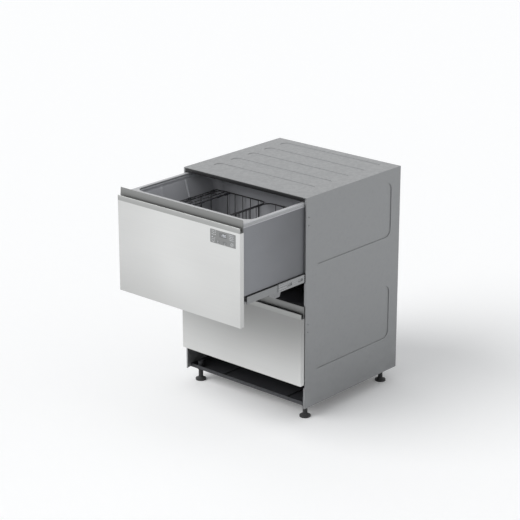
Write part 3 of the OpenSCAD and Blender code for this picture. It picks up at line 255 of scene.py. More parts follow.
def span(nodes, links, source, low, high):
    """A value that runs from low to high as the source goes from 0.3 to 0.7."""
    m = nodes.new("ShaderNodeMapRange")
    m.inputs["From Min"].default_value, m.inputs["From Max"].default_value = 0.3, 0.7
    m.inputs["To Min"].default_value, m.inputs["To Max"].default_value = low, high
    links.new(source, m.inputs["Value"])
    return m.outputs["Result"]


def worked(nodes, links, shader, tone, stops, gloss, low, high):
    """Colour from one source through a ramp, and roughness from another between two values."""
    tint = ramp(nodes, links, tone, stops)
    links.new(tint.outputs["Color"], shader.inputs["Base Color"])
    links.new(span(nodes, links, gloss, low, high), shader.inputs["Roughness"])


def multiplied(nodes, links, one, other, shader):
    """The product of two colours as the shader's colour."""
    mix = nodes.new("ShaderNodeMix")
    mix.data_type, mix.blend_type = "RGBA", "MULTIPLY"
    mix.inputs["Factor"].default_value = 1
    links.new(one, mix.inputs["A"])
    links.new(other, mix.inputs["B"])
    links.new(mix.outputs["Result"], shader.inputs["Base Color"])


def shade(colour, factor):
    """A lighter or darker colour."""
    return tuple(min(1.0, c * factor) for c in colour)


def brushed_steel(name, colour, rough, grain=(3, 3, 900), spread=0.03, metallic=0.7, depth=0.00003):
    """Sheet steel with fine parallel brushing: noise drawn out along the grain changes the
    colour, the gloss and the relief; a broad noise lets it drift between warm and cool."""
    m, nodes, links, shader = new_material(name)
    shader.inputs["Metallic"].default_value = metallic
    streaks = pattern(nodes, links, 1.0, grain, 3, 0.7)
    cloud = pattern(nodes, links, 2.6, (1, 1, 1), 1)
    tint = ramp(nodes, links, streaks.outputs["Fac"],
                [(0.3, shade(colour, 1 - spread)), (0.5, colour), (0.7, shade(colour, 1 + spread))])
    wide = ramp(nodes, links, cloud.outputs["Fac"], [(0.35, (0.92, 0.92, 0.918)), (0.62, (1, 1, 1))])
    multiplied(nodes, links, tint.outputs["Color"], wide.outputs["Color"], shader)
    gloss = span(nodes, links, streaks.outputs["Fac"], rough - 0.06, rough + 0.08)
    links.new(gloss, shader.inputs["Roughness"])
    bump(nodes, links, streaks.outputs["Fac"], shader, 0.1, depth)
    return m


def painted_light_runs(material, bands):
    """Multiplies a material's colour by a sum of even runs, each along one axis between two places
    and from one factor to another: painted light and shade, as a surface looks whose far end turns away from
    the light."""
    nodes, links = material.node_tree.nodes, material.node_tree.links
    shader = nodes["Principled BSDF"]
    plain = shader.inputs["Base Color"].links[0].from_socket
    where, parts = nodes.new("ShaderNodeTexCoord"), nodes.new("ShaderNodeSeparateXYZ")
    links.new(where.outputs["Object"], parts.inputs[0])
    total = None
    for axis, low, high, first, last in bands:
        run = nodes.new("ShaderNodeMapRange")
        run.interpolation_type = "SMOOTHSTEP"
        for key, value in zip(("From Min", "From Max", "To Min", "To Max"), (low, high, first, last)):
            run.inputs[key].default_value = value
        links.new(parts.outputs[axis], run.inputs["Value"])
        if total is None:
            total = run.outputs["Result"]
        else:
            add = nodes.new("ShaderNodeMath")
            links.new(total, add.inputs[0])
            links.new(run.outputs["Result"], add.inputs[1])
            total = add.outputs[0]
    multiplied(nodes, links, plain, total, shader)
    return material


def moulded(name, colour, rough=0.45, grain=900, depth=0.00004, spread=0.05, specular=0.5):
    """Injection moulded plastic: a fine even texture, and a slow drift of tone where the melt
    flowed."""
    m, nodes, links, shader = new_material(name)
    shader.inputs["Specular IOR Level"].default_value = specular
    fine = pattern(nodes, links, grain, (1, 1, 1), 2)
    flow = pattern(nodes, links, 6, (1, 1, 1.6), 3)
    worked(nodes, links, shader, flow.outputs["Fac"],
           [(0.3, shade(colour, 1 - spread)), (0.7, shade(colour, 1 + spread))],
           fine.outputs["Fac"], rough - 0.05, rough + 0.07)
    bump(nodes, links, fine.outputs["Fac"], shader, 0.25, depth)
    return m


def dipped(name, colour, rough=0.38):
    """Thick coating that wire is dipped in: smooth, with a slight orange peel and soft runs."""
    m, nodes, links, shader = new_material(name)
    shader.inputs["Coat Weight"].default_value = 0.25
    shader.inputs["Coat Roughness"].default_value = 0.3
    peel = pattern(nodes, links, 420, (1, 1, 1), 2)
    runs = pattern(nodes, links, 30, (1, 1, 0.4), 3)
    worked(nodes, links, shader, runs.outputs["Fac"],
           [(0.3, shade(colour, 0.8)), (0.7, shade(colour, 1.25))],
           peel.outputs["Fac"], rough - 0.06, rough + 0.08)
    bump(nodes, links, peel.outputs["Fac"], shader, 0.3, 0.0001)
    return m


def galvanised(name, colour, rough=0.42):
    """Zinc coated sheet: flat crystals of slightly different tone."""
    m, nodes, links, shader = new_material(name)
    shader.inputs["Metallic"].default_value = 0.75
    where = nodes.new("ShaderNodeTexCoord")
    cells = nodes.new("ShaderNodeTexVoronoi")
    cells.inputs["Scale"].default_value = 95
    links.new(where.outputs["Object"], cells.inputs["Vector"])
    grey = nodes.new("ShaderNodeRGBToBW")
    links.new(cells.outputs["Color"], grey.inputs["Color"])
    worked(nodes, links, shader, grey.outputs["Val"],
           [(0.1, shade(colour, 0.94)), (0.9, shade(colour, 1.05))],
           grey.outputs["Val"], rough - 0.08, rough + 0.1)
    dust = pattern(nodes, links, 600, (1, 1, 1), 2)
    bump(nodes, links, dust.outputs["Fac"], shader, 0.08, 0.00004)
    return m


def powder_coat(name, colour, rough=0.55):
    """Baked powder on sheet: a pebbled skin with a faint variation of tone."""
    m, nodes, links, shader = new_material(name)
    pebble = pattern(nodes, links, 700, (1, 1, 1), 3)
    cloud = pattern(nodes, links, 5, (1, 1, 1), 3)
    worked(nodes, links, shader, cloud.outputs["Fac"],
           [(0.3, shade(colour, 0.85)), (0.7, shade(colour, 1.2))],
           pebble.outputs["Fac"], rough - 0.08, rough + 0.08)
    bump(nodes, links, pebble.outputs["Fac"], shader, 0.3, 0.0001)
    return m


def rubber(name, colour, rough=0.7):
    """Soft rubber: matt, with a dusty bloom in its relief."""
    m, nodes, links, shader = new_material(name)
    shader.inputs["Sheen Weight"].default_value = 0.15
    bloom = pattern(nodes, links, 120, (1, 1, 1), 4)
    worked(nodes, links, shader, bloom.outputs["Fac"],
           [(0.35, shade(colour, 0.9)), (0.75, shade(colour, 1.5))],
           bloom.outputs["Fac"], rough - 0.05, rough + 0.1)
    bump(nodes, links, bloom.outputs["Fac"], shader, 0.2, 0.00008)
    return m


def smoked(name, colour):
    """Window over the digits: grey and glossy, with hairline wear."""
    m, nodes, links, shader = new_material(name)
    shader.inputs["Coat Weight"].default_value = 0.5
    wear = pattern(nodes, links, 60, (1, 1, 12), 4)
    worked(nodes, links, shader, wear.outputs["Fac"], [(0.3, colour), (0.8, shade(colour, 1.4))],
           wear.outputs["Fac"], 0.14, 0.26)
    return m


def glowing(name, colour, strength):
    """Small lamp behind a diffuser: brighter in the middle of its grain."""
    m, nodes, links, shader = new_material(name)
    grain = pattern(nodes, links, 1500, (1, 1, 1), 2)
    tint = ramp(nodes, links, grain.outputs["Fac"], [(0.3, shade(colour, 0.85)), (0.7, colour)])
    links.new(tint.outputs["Color"], shader.inputs["Base Color"])
    links.new(tint.outputs["Color"], shader.inputs["Emission Color"])
    shader.inputs["Emission Strength"].default_value = strength
    shader.inputs["Roughness"].default_value = 0.4
    return m


def softened(obj, angle=32):
    """Rounds the shading of a CAD solid: joins its loose triangles, then shades every edge
    smooth whose faces meet at less than the angle."""
    group = bpy.data.node_groups.get("soft_shading")
    if group is None:
        group = bpy.data.node_groups.new("soft_shading", "GeometryNodeTree")
        group.interface.new_socket("Geometry", in_out="INPUT", socket_type="NodeSocketGeometry")
        group.interface.new_socket("Geometry", in_out="OUTPUT", socket_type="NodeSocketGeometry")
        n, link = group.nodes, group.links
        start, end = n.new("NodeGroupInput"), n.new("NodeGroupOutput")
        weld = n.new("GeometryNodeMergeByDistance")
        weld.inputs["Distance"].default_value = 0.00001
        faces = n.new("GeometryNodeSetShadeSmooth")
        edges = n.new("GeometryNodeSetShadeSmooth")
        edges.domain = "EDGE"
        turn = n.new("GeometryNodeInputMeshEdgeAngle")
        sharp = n.new("FunctionNodeCompare")
        sharp.operation = "LESS_EQUAL"
        sharp.inputs["B"].default_value = math.radians(angle)
        link.new(start.outputs[0], weld.inputs["Geometry"])
        link.new(weld.outputs["Geometry"], faces.inputs["Geometry"])
        link.new(faces.outputs["Geometry"], edges.inputs["Geometry"])
        link.new(turn.outputs["Unsigned Angle"], sharp.inputs["A"])
        link.new(sharp.outputs["Result"], edges.inputs["Shade Smooth"])
        link.new(edges.outputs["Geometry"], end.inputs[0])
    obj.modifiers.new("soft_shading", "NODES").node_group = group


def coat(material, *names):
    """Gives CAD solids their material and soft shading."""
    for name in names:
        obj = NODES[name]
        obj.data.materials.clear()
        obj.data.materials.append(material)
        softened(obj)


# ---- settings ----

class SteelSettings(bpy.types.PropertyGroup):
    """Colours of the steel fronts and handles."""
    front: FloatVectorProperty(name="Front", description="Colour of the steel fronts", subtype="COLOR",
                               default=(0.665, 0.668, 0.66), min=0, max=1)
    handle: FloatVectorProperty(name="Handle", description="Colour of the finger channel and strip",
                                subtype="COLOR", default=(0.27, 0.273, 0.268), min=0, max=1)
    runner: FloatVectorProperty(name="Runner", description="Colour of the runners", subtype="COLOR",
                                default=(0.30, 0.305, 0.31), min=0, max=1)
    sheet: FloatVectorProperty(name="Chassis sheet", description="Colour of the zinc coated sheets",
                               subtype="COLOR", default=(0.31, 0.316, 0.322), min=0, max=1)


class PlasticSettings(bpy.types.PropertyGroup):
    """Colours of the moulded and dipped parts."""
    tub: FloatVectorProperty(name="Tub", description="Colour of the inside of the tub", subtype="COLOR",
                             default=(0.50, 0.505, 0.53), min=0, max=1)
    rim: FloatVectorProperty(name="Rim", description="Colour of the rim of the tub", subtype="COLOR",
                             default=(0.43, 0.435, 0.445), min=0, max=1)
    skin: FloatVectorProperty(name="Side skins", description="Colour of the sides of a drawer",
                              subtype="COLOR", default=(0.25, 0.257, 0.275), min=0, max=1)
    wire: FloatVectorProperty(name="Racks", description="Colour of the dipped wire", subtype="COLOR",
                              default=(0.035, 0.036, 0.042), min=0, max=1)
    dark: FloatVectorProperty(name="Dark trim", description="Colour of the black trims", subtype="COLOR",
                              default=(0.012, 0.012, 0.013), min=0, max=1)
    fascia: FloatVectorProperty(name="Fascia", description="Colour of the control fascia", subtype="COLOR",
                                default=(0.215, 0.218, 0.216), min=0, max=1)


class TubSettings(bpy.types.PropertyGroup):
    """Sizes of the lining of a tub."""
    fillet: FloatProperty(name="Floor fillet", description="Radius between wall and floor, in millimetres",
                          default=14, min=6, max=20)
    edge: FloatProperty(name="Rim edge", description="Radius where the rim turns down, in millimetres",
                        default=4, min=2, max=6)
    corner_steps: IntProperty(name="Corner steps", description="Points in a corner of the lining",
                              default=10, min=6, max=20)


class RackSettings(bpy.types.PropertyGroup):
    """Sizes of the dipped wire racks."""
    sides: IntProperty(name="Wire sides", description="Faces round a wire", default=8, min=6, max=12)
    tip: FloatProperty(name="Tine tip", description="Extra diameter of a coated tine tip, in millimetres",
                       default=0.9, min=0, max=2)
    lean: FloatProperty(name="Tine lean", description="Angle of a tine from upright", subtype="ANGLE",
                        default=math.radians(6), min=0, max=math.radians(12))


class StageSettings(bpy.types.PropertyGroup):
    """Floor, lamps and camera."""
    floor: FloatVectorProperty(name="Floor", description="Colour of the floor", subtype="COLOR",
                               default=(0.94, 0.94, 0.94), min=0, max=1)
    floor_lift: FloatProperty(name="Floor lift", default=0.11, min=0, max=1,
                              description="White added to the floor where the camera sees it")
    sky: FloatProperty(name="Sky light", description="Strength of the even light", default=0.55, min=0, max=2)
    sun: FloatProperty(name="High lamp", description="Strength of the wide lamp above the left", default=1.9,
                       min=0, max=10)
    lens: FloatProperty(name="Lens", description="Focal length of the camera", unit="CAMERA",
                        default=124.36, min=20, max=300)


# ---- pieces ----

def tub_outline(half_x, y0, y1, r, steps, share_side, share_front):
    """Rounded rectangle whose points match those of any other one made with the same steps and
    shares: each corner is an arc, each side is cut at the same shares of its length."""
    def side(p, q, share):
        return p + (q - p) * share[:, None]
    a = np.array([half_x, y0 + r]), np.array([half_x, y1 - r])
    b = np.array([half_x - r, y1]), np.array([r - half_x, y1])
    c = np.array([-half_x, y1 - r]), np.array([-half_x, y0 + r])
    d = np.array([r - half_x, y0]), np.array([half_x - r, y0])
    return np.vstack([side(*a, share_side), arc(half_x - r, y1 - r, r, 0, 90, steps)[1:-1],
                      side(*b, share_front), arc(r - half_x, y1 - r, r, 90, 180, steps)[1:-1],
                      side(*c, share_side[::-1] * -1 + 1), arc(r - half_x, y0 + r, r, 180, 270, steps)[1:-1],
                      side(*d, share_front), arc(half_x - r, y0 + r, r, 270, 360, steps)[1:-1]])


def wall_x(z):
    """Half the width of the cavity at a height: the width of the floor below the flare, that of the
    mouth above it, and in between the straight line that joins them."""
    return CAVITY_X + (MOUTH_X - CAVITY_X) * np.clip((z - FLARE_Z) / (MOUTH_Z - FLARE_Z), 0, 1)


def flared_tub(drawer):
    """The tub's own solid with its long walls leant outwards. It is cut level with both ends of the
    flare. Then a point of the wall moves out as far as the cavity widens there, and what lies
    between the wall and the skirt is drawn together in proportion."""
    at = np.array(DRAWERS[drawer])
    bm = bmesh.new()
    bm.from_mesh(NODES[f"{drawer}_tub"].data)
    bmesh.ops.remove_doubles(bm, verts=bm.verts, dist=1e-6)
    for z in (FLARE_Z, MOUTH_Z):
        bmesh.ops.bisect_plane(bm, geom=bm.verts[:] + bm.edges[:] + bm.faces[:], dist=1e-7,
                               plane_co=(0, 0, at[2] + z * MM), plane_no=(0, 0, 1))
    bm.verts.index_update()
    points = (np.array([v.co for v in bm.verts]) - at) / MM
    faces = [[v.index for v in f.verts] for f in bm.faces]
    bm.free()
    x, y, z = points.T
    side, wall = np.abs(x), wall_x(z)
    bend = CAVITY_X - TUB_CORNER
    leant = side + np.interp(side, (bend - 3, bend), (0, 1)) * (wall - CAVITY_X)
    drawn = wall + (side - CAVITY_X) * (SKIRT_X - wall) / (SKIRT_X - CAVITY_X)
    moved = np.where(side <= CAVITY_X, leant, np.where(side < SKIRT_X, drawn, side))
    reach = TUB_WALL + 0.1
    inner = (y > CAVITY_Y0 - reach) & (y < CAVITY_Y1 + reach)
    # the top gives way to the lining, whose rim is as high as the real one, where the seal rests
    return np.column_stack([np.where(inner, np.sign(x) * moved, x), y, np.minimum(z, -0.3)]), faces


def lining(edge, fillet, corner_steps):
    """Rim and inside of the tub as two surfaces that meet just under the rim. Their rows are
    rounded rectangles: down the outer edge of the rim, across the rim and round into the cavity;
    then past a shallow groove, down the flare and the wall, round onto the floor, over the shallow
    step and down into the round sump. A smooth ridge stands on the walls at each rib."""
    lift, top = 0.22, -0.05
    length = CAVITY_Y1 - CAVITY_Y0 - 2 * TUB_CORNER
    near = np.concatenate([(np.linspace(-7, 7, 15) + y - CAVITY_Y0 - TUB_CORNER) / length for y in RIB_YS])
    sides = np.unique(np.round(np.concatenate([np.linspace(0, 1, 22), near]), 5))
    fronts = np.linspace(0, 1, 26)

    def row(half_x, y0, y1, r, z):
        o = tub_outline(half_x, y0, y1, r, corner_steps, sides, fronts)
        return np.column_stack([o, np.full(len(o), z)])

    rim = np.array([RIM_X + 0.25, RIM_Y0 + 0.02, RIM_Y1 + 0.25])
    rows = [row(*rim, RIM_CORNER, z) for z in (-11, -edge)]
    for a in np.radians(np.linspace(15, 90, 6)):
        d = edge * (1 - math.cos(a))
        rows.append(row(*(rim + [-d, d, -d]), RIM_CORNER - d, top - edge * (1 - math.sin(a))))
    for s in np.linspace(0.15, 0.75, 5):
        hx = RIM_X - edge + (MOUTH_X - RIM_X + edge) * s
        rows.append(row(hx, RIM_Y0 + edge + (CAVITY_Y0 - RIM_Y0 - edge) * s,
                        RIM_Y1 - edge + (CAVITY_Y1 - RIM_Y1 + edge) * s, 10 + 24 * s, top))
    # the inner edge: a quarter circle from the flat rim to the wall
    inner = 1.8
    for a in np.radians(np.linspace(0, 90, 7)):
        out = inner * (1 - math.sin(a))
        rows.append(row(MOUTH_X + out - lift, CAVITY_Y0 - out + lift, CAVITY_Y1 + out - lift,
                        TUB_CORNER + out, top - inner * (1 - math.cos(a))))
    rows.append(row(MOUTH_X - lift, CAVITY_Y0 + lift, CAVITY_Y1 - lift, TUB_CORNER, -7))
    rim_rows = len(rows)
    wall_end = -TUB_DEPTH + lift + fillet
    band = [-7, -9, -13, -14.6, -15.2, -20.4, -21.2, -22.2, -24]
    flare = [-30, -45, -62, -80, -98, -111, -115, -119, -128]
    for z in np.concatenate([band, flare, np.linspace(-145, wall_end, 7)]):
        # the groove lies between the band under the rim and the flare, which both stand proud
        d = lift + np.interp(z, (-60, -24, -22.2, -21.2, -20.4, -15.2, -14.6, -13, -9, -7),
                             (0, 0.8, 0.7, 0.2, 0, 0, 0.3, 0.9, 0.9, 0))
        rows.append(row(wall_x(z) - d, CAVITY_Y0 + d, CAVITY_Y1 - d, TUB_CORNER, z))
    for a in np.radians(np.linspace(15, 90, 6)):
        d = fillet * (1 - math.cos(a)) + lift
        rows.append(row(CAVITY_X - d, CAVITY_Y0 + d, CAVITY_Y1 - d, TUB_CORNER - d * 0.5,
                        wall_end - fillet * math.sin(a)))
    for d, z in ((20, -TUB_DEPTH), (25, -TUB_DEPTH), (26, -TUB_DEPTH - 0.3), (27.5, FLOOR_Z + 0.1),
                 (29, FLOOR_Z), (60, FLOOR_Z)):
        rows.append(row(CAVITY_X - d, CAVITY_Y0 + d, CAVITY_Y1 - d, TUB_CORNER, z + lift))
    last = rows[-1][:, :2] - [0, MID_Y]
    unit = last / np.linalg.norm(last, axis=1, keepdims=True)
    for r, z in ((SUMP_R + 8, FLOOR_Z), (SUMP_R + 3, FLOOR_Z), (SUMP_R, FLOOR_Z - 1.5),
                 (SUMP_R - lift, FLOOR_Z - 5),
                 (SUMP_R - lift, SUMP_Z + 5), (SUMP_R - 1.5, SUMP_Z + 1.5), (SUMP_R - 5, SUMP_Z),
                 (40, SUMP_Z), (9, SUMP_Z)):
        ring = unit * r + [0, MID_Y]
        rows.append(np.column_stack([ring, np.full(len(ring), z + lift)]))
    surface = np.array(rows)
    # ridges over the ribs of the long walls
    x, y, z = surface[..., 0], surface[..., 1], surface[..., 2]
    on_wall = np.clip((z + TUB_DEPTH + 2) / 3, 0, 1) * np.clip((-19 - z) / 5, 0, 1)
    on_wall *= np.abs(x) > wall_x(z) - 30
    for rib in RIB_YS:
        t = np.clip((np.abs(y - rib) - RIB_W / 2) / 2.5, 0, 1)
        x -= np.sign(x) * on_wall * (RIB_RISE + 0.1) * (1 - t * t * (3 - 2 * t))
    return [(part.reshape(-1, 3), grid_faces(*part.shape[:2], wrap_cols=True)[:, ::-1].tolist())
            for part in (surface[:rim_rows], surface[rim_rows:])]


class DISHWASHER_OT_tub_lining(bpy.types.Operator):
    """Tubs with a flared mouth, and their smooth lining from the rolled rim edge to the sump"""
    bl_idname = "dishwasher.tub_lining"
    bl_label = "Tub lining"

    def execute(self, context):
        tub, plastic = context.scene.dishwasher_tub, context.scene.dishwasher_plastic
        # painted light: the inside is the same grey plastic as the rim, given a lighter colour to make up for
        # the shade in the tub
        inside = moulded("tub_plastic", tuple(plastic.tub), 0.34, 700, 0.00003, 0.035)
        rim = moulded("rim_plastic", tuple(plastic.rim), 0.28, 700, 0.00002, 0.02)
        coat(inside, "upper_tub", "lower_tub")
        for drawer in DRAWERS:
            tub_body = piece(f"{drawer}_tub_body", flared_tub(drawer), inside, f"{drawer}_drawer",
                             drawer, smooth=30, outward=False)
            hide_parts(f"{drawer}_tub")
            shapes = lining(tub.edge, tub.fillet, tub.corner_steps)
            for name, shape, material in zip(("tub_rim", "tub_lining"), shapes, (rim, inside)):
                obj = piece(f"{drawer}_{name}", shape, material, f"{drawer}_drawer", drawer,
                            smooth=180, outward=False)
                wall = obj.modifiers.new("wall", "SOLIDIFY")
                wall.thickness, wall.offset = 0.00018, -1
        return {"FINISHED"}


def tine(lean, tip, sides):
    """Tine with a coated, rounded tip: a straight wire whose last rings swell and close."""
    h = np.array([0, 60, 63, 66, 69, 71, 71.9])
    r = WIRE_D / 2 + np.array([0, 0, 0.8, 1, 0.85, -0.1, -1.1]) * tip / 2
    path = np.column_stack([-h * math.sin(lean), 0 * h, h * math.cos(lean)])
    return tube(path, np.maximum(r, 0.25), (0, 1, 0), sides)


def rack_half(rows, sides, tip, lean):
    """Right half of a base rack: three loops of rail, wires bent down the walls and across the
    floor, rows of tines on long wires, and feet."""
    off = (RAIL_D + WIRE_D) / 2 - 0.45
    r = WIRE_D / 2
    width, depth = RACK_X1 - RACK_X0, RACK_Y1 - RACK_Y0
    shapes = []
    for z, d in ((RAIL_TOP, RAIL_D), ((RAIL_TOP + GRID_Z) / 2, WIRE_D + 0.6), (GRID_Z, RAIL_D)):
        loop = bent([(RACK_X0, RACK_Y0, z), (RACK_X1, RACK_Y0, z), (RACK_X1, RACK_Y1, z),
                     (RACK_X0, RACK_Y1, z)], 26, 8, closed=True)
        shapes.append(tube(loop, d / 2, (0, 0, 1), sides + 2, closed=True))
    top = RAIL_TOP + 1
    floor = GRID_Z - 0.3
    near, far = RACK_Y0 + off, RACK_Y1 - off
    along = bent([(0, near, top), (0, near, floor), (0, far, floor), (0, far, top)], 9)
    shapes.append(copies(tube(along, r, (1, 0, 0), sides),
                         [(RACK_X0 + i * width / 6, 0, 0) for i in range(1, 6)]))
    floor = GRID_Z + WIRE_D - 0.45
    near, far = RACK_X0 + off, RACK_X1 - off
    across = bent([(near, 0, top), (near, 0, floor), (far, 0, floor), (far, 0, top)], 9)
    shapes.append(copies(tube(across, r, (0, 1, 0), sides),
                         [(0, RACK_Y0 + i * depth / 7, 0) for i in range(1, 7)]))
    xs = [RACK_X0 + width * s for s in rows]
    z = GRID_Z + 2 * (WIRE_D - 0.45)
    spine = np.array([(0, RACK_Y0 - 1, z), (0, RACK_Y1 + 1, z)])
    shapes.append(copies(tube(spine, r, (1, 0, 0), sides), [(x, 0, 0) for x in xs]))
    middle = (RACK_Y0 + RACK_Y1) / 2
    shapes.append(copies(tine(lean, tip, sides - 1), [(x, middle + 26 * (i - 5.5), GRID_Z + WIRE_D - 0.45)
                                                      for x in xs for i in range(12)]))
    foot = [(0.6, -32.8), (3.4, -32.8), (4.2, -31.6), (4.2, -28), (3.3, -26), (3.3, -3), (2.4, 1)]
    shapes.append(copies(revolved(foot, 14), [(x, y, GRID_Z) for x in (RACK_X0 + 30, RACK_X1 - 30)
                                              for y in (RACK_Y0 + 1, RACK_Y1 - 1)]))
    return joined(shapes)


def hinge_clip():
    """Moulded clip that grips the top rail and carries the hinge rod: an arch with a waist and
    a slot for the rod."""
    outline = np.vstack([[[-4.4, -4], [4.4, -4]], arc(5.4, -1.5, 1.6, 230, 100, 3),
                         arc(0, 7.2, 5, 10, 170, 10), arc(-5.4, -1.5, 1.6, 80, -50, 3)])
    return prism(outline, -4.5, 4.5)


class DISHWASHER_OT_base_racks(bpy.types.Operator):
    """Base racks of dipped wire, with the clips that carry the cup rack"""
    bl_idname = "dishwasher.base_racks"
    bl_label = "Base racks"

    def execute(self, context):
        rack = context.scene.dishwasher_rack
        material = bpy.data.materials["rack_wire"]
        clip_material = bpy.data.materials["clip_plastic"]
        for drawer in DRAWERS:
            right = rack_half((0.2, 0.48, 0.76), rack.sides, rack.tip, rack.lean)
            left = mirrored(rack_half((0.2, 0.76), rack.sides, rack.tip, rack.lean))
            body = f"{drawer}_drawer"
            wires = piece(f"{drawer}_rack_wires", joined([right, left]), material, body,
                          drawer, 60)
            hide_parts(f"{drawer}_base_racks")
            places = [(-HINGE_X, CUP_Y0 + (i + 0.5) * CUP_PITCH, RAIL_TOP) for i in (0, 4, 7)]
            clips = piece(f"{drawer}_rack_clips", copies(hinge_clip(), places), clip_material, body,
                          drawer)
            edge = clips.modifiers.new("edge", "BEVEL")
            edge.width, edge.segments = 0.0006, 2
        return {"FINISHED"}


def cup_rack():
    """Folding rack: hinge rod, edge bar, mid wire and cross wires, which sag a little between
    the rods."""
    x0, x1 = -HINGE_X, -HINGE_X + CUP_RACK_W
    middle = x0 + CUP_RACK_W * 0.55
    shapes = []
    for x, z, d, more in ((x0, HINGE_Z, 4.0, 3), (x1, HINGE_Z, 5.0, 3),
                          (middle, HINGE_Z - WIRE_D + 0.45, WIRE_D, 0)):
        ys = np.array([CUP_Y0 - more, CUP_Y0 - more + 0.9, CUP_Y1 + more - 0.9, CUP_Y1 + more])
        path = np.column_stack([np.full(4, x), ys, np.full(4, z)])
        shapes.append(tube(path, d / 2 * np.array([0.55, 1, 1, 0.55]), (0, 0, 1), 12))
    sag = np.linspace(0, 1, 9)
    path = np.column_stack([x0 + CUP_RACK_W * sag, 0 * sag, HINGE_Z - 0.3 * np.sin(math.pi * sag)])
    shapes.append(copies(tube(path, WIRE_D / 2, (0, 1, 0), 8),
                         [(0, CUP_Y0 + i * CUP_PITCH, 0) for i in range(9)]))
    return joined(shapes)


def sleeve():
    """Ribbed sleeve on the edge bar: five soft rings between two collars."""
    t = np.linspace(0, 1, 31)
    r = 4.1 + 0.35 * np.abs(np.sin(5 * math.pi * t)) ** 0.6
    y = -7.4 + 14.8 * t
    profile = np.vstack([[2.2, -7.4], np.column_stack([r, y]), [2.2, 7.4]])
    return revolved(profile, 16, "Y")


class DISHWASHER_OT_cup_racks(bpy.types.Operator):
    """Folding cup racks with ribbed sleeves on their edge bars"""
    bl_idname = "dishwasher.cup_racks"
    bl_label = "Cup racks"

    def execute(self, context):
        for drawer in DRAWERS:
            body = f"{drawer}_cup_rack"
            wires = piece(f"{drawer}_cup_wires", cup_rack(), bpy.data.materials["rack_wire"], body,
                          drawer, 60)
            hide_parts(f"{drawer}_cup_rack")
            places = [(-HINGE_X + CUP_RACK_W, CUP_Y0 + (i + 0.5) * CUP_PITCH, HINGE_Z) for i in range(8)]
            piece(f"{drawer}_cup_sleeves", copies(sleeve(), places), bpy.data.materials["clip_plastic"], body,
                  drawer, 50)
        return {"FINISHED"}


def printed(outlines, y=-0.06, depth=0.12):
    """Flat marks on the fascia, each a thin prism that stands just proud of it."""
    return joined([prism(np.asarray(o), y, y + depth) for o in outlines])


def disc(x, z, r, n=16):
    return arc(x, z, r, 0, 360 * (n - 1) / n, n - 1)


def bar(x, z, w, h, r=None):
    return rounded(x - w / 2, z - h / 2, x + w / 2, z + h / 2, min(w, h) / 2.2 if r is None else r, 3)


def circle_band(x, z, r, w, a0, a1, n=14):
    """Part of a ring, as an outline out along one radius and back along the other."""
    return np.vstack([arc(x, z, r, a0, a1, n), arc(x, z, r - w, a1, a0, n)])


def digit(x, z, lit, w=4.0, h=7.4):
    """Seven bars of a digit; lit names those that glow, from the top clockwise, middle last."""
    a, t = h / 4, 0.85
    spots = {"a": (0, 2 * a, 1), "b": (w / 2, a, 0), "c": (w / 2, -a, 0), "d": (0, -2 * a, 1),
             "e": (-w / 2, -a, 0), "f": (-w / 2, a, 0), "g": (0, 0, 1)}
    out = []
    for k in lit:
        dx, dz, flat = spots[k]
        out.append(bar(x + dx, z + dz, (w - t if flat else t), (t if flat else 2 * a - t)))
    return out


class DISHWASHER_OT_controls(bpy.types.Operator):
    """Control fascia: printed marks, lamps and the digits behind the window"""
    bl_idname = "dishwasher.controls"
    bl_label = "Controls"

    def execute(self, context):
        def at(outlines):
            return [np.asarray(o) + [FASCIA_X, FASCIA_Z] for o in outlines]
        ink = moulded("printed_ink", (0.80, 0.81, 0.82), 0.5, 1800, 0.00001)
        lamp = glowing("lamp_white", (0.9, 0.93, 1.0), 0.35)
        # rows of small marks at the left, one for each choice of programme
        marks = [bar(-50 + 7.5 * c, 20 - 6.5 * r, 5.2 - 0.8 * ((r + c) % 2), 1.15)
                 for r in range(3) for c in range(3)]
        # rings round the power key and the start key, a stroke under each of the other keys
        marks += [circle_band(x, -15, 6.2, 0.8, 0, 360 * 0.999, 40) for x in (-46, 42)]
        marks += [bar(-24, -22, 6, 1.0), bar(8, -22, 6, 1.0)]
        # one bar beside each lamp at the right
        marks += [bar(30 + 11 * c, 19 - 6 * r, 3.6, 1.1) for r in range(4) for c in (0, 1)]
        piece("fascia_marks", printed(at(marks)), ink, "upper_drawer", "upper")
        lamps = [disc(36 + 11 * c, 19 - 6 * r, 0.85) for r in range(4) for c in (0, 1)]
        lamps += [disc(-38, -6, 0.8), disc(-50, -3, 1.3)]
        piece("fascia_lamps", printed(at(lamps), -0.3, 0.4), lamp, "upper_drawer", "upper")
        figures = [o for x, lit in ((-6, "bc"), (3, "afgcd"), (10, "abcdef")) for o in digit(x, 10, lit)]
        figures += [disc(-1.8, 8, 0.5), disc(-1.8, 12, 0.5)]
        piece("window_digits", printed(at(figures), -0.02, 0.15), lamp, "upper_drawer",
              "upper")
        key_marks = {"power_key": [circle_band(-46, -15, 2.6, 0.5, 120, 420, 20), bar(-46, -12.8, 0.5, 2.6)],
                     "start_key": [np.array([(40.8, -17.2), (44.6, -15), (40.8, -12.8)])],
                     "program_key": [bar(-24, -15, 7, 0.6), bar(-24, -13, 4, 0.5), bar(-24, -17, 4, 0.5)],
                     "option_key": [disc(5, -15, 0.6), disc(8, -15, 0.6), disc(11, -15, 0.6)]}
        for key, outlines in key_marks.items():
            piece(f"{key}_mark", printed(at(outlines)), ink, key, "upper")
        return {"FINISHED"}


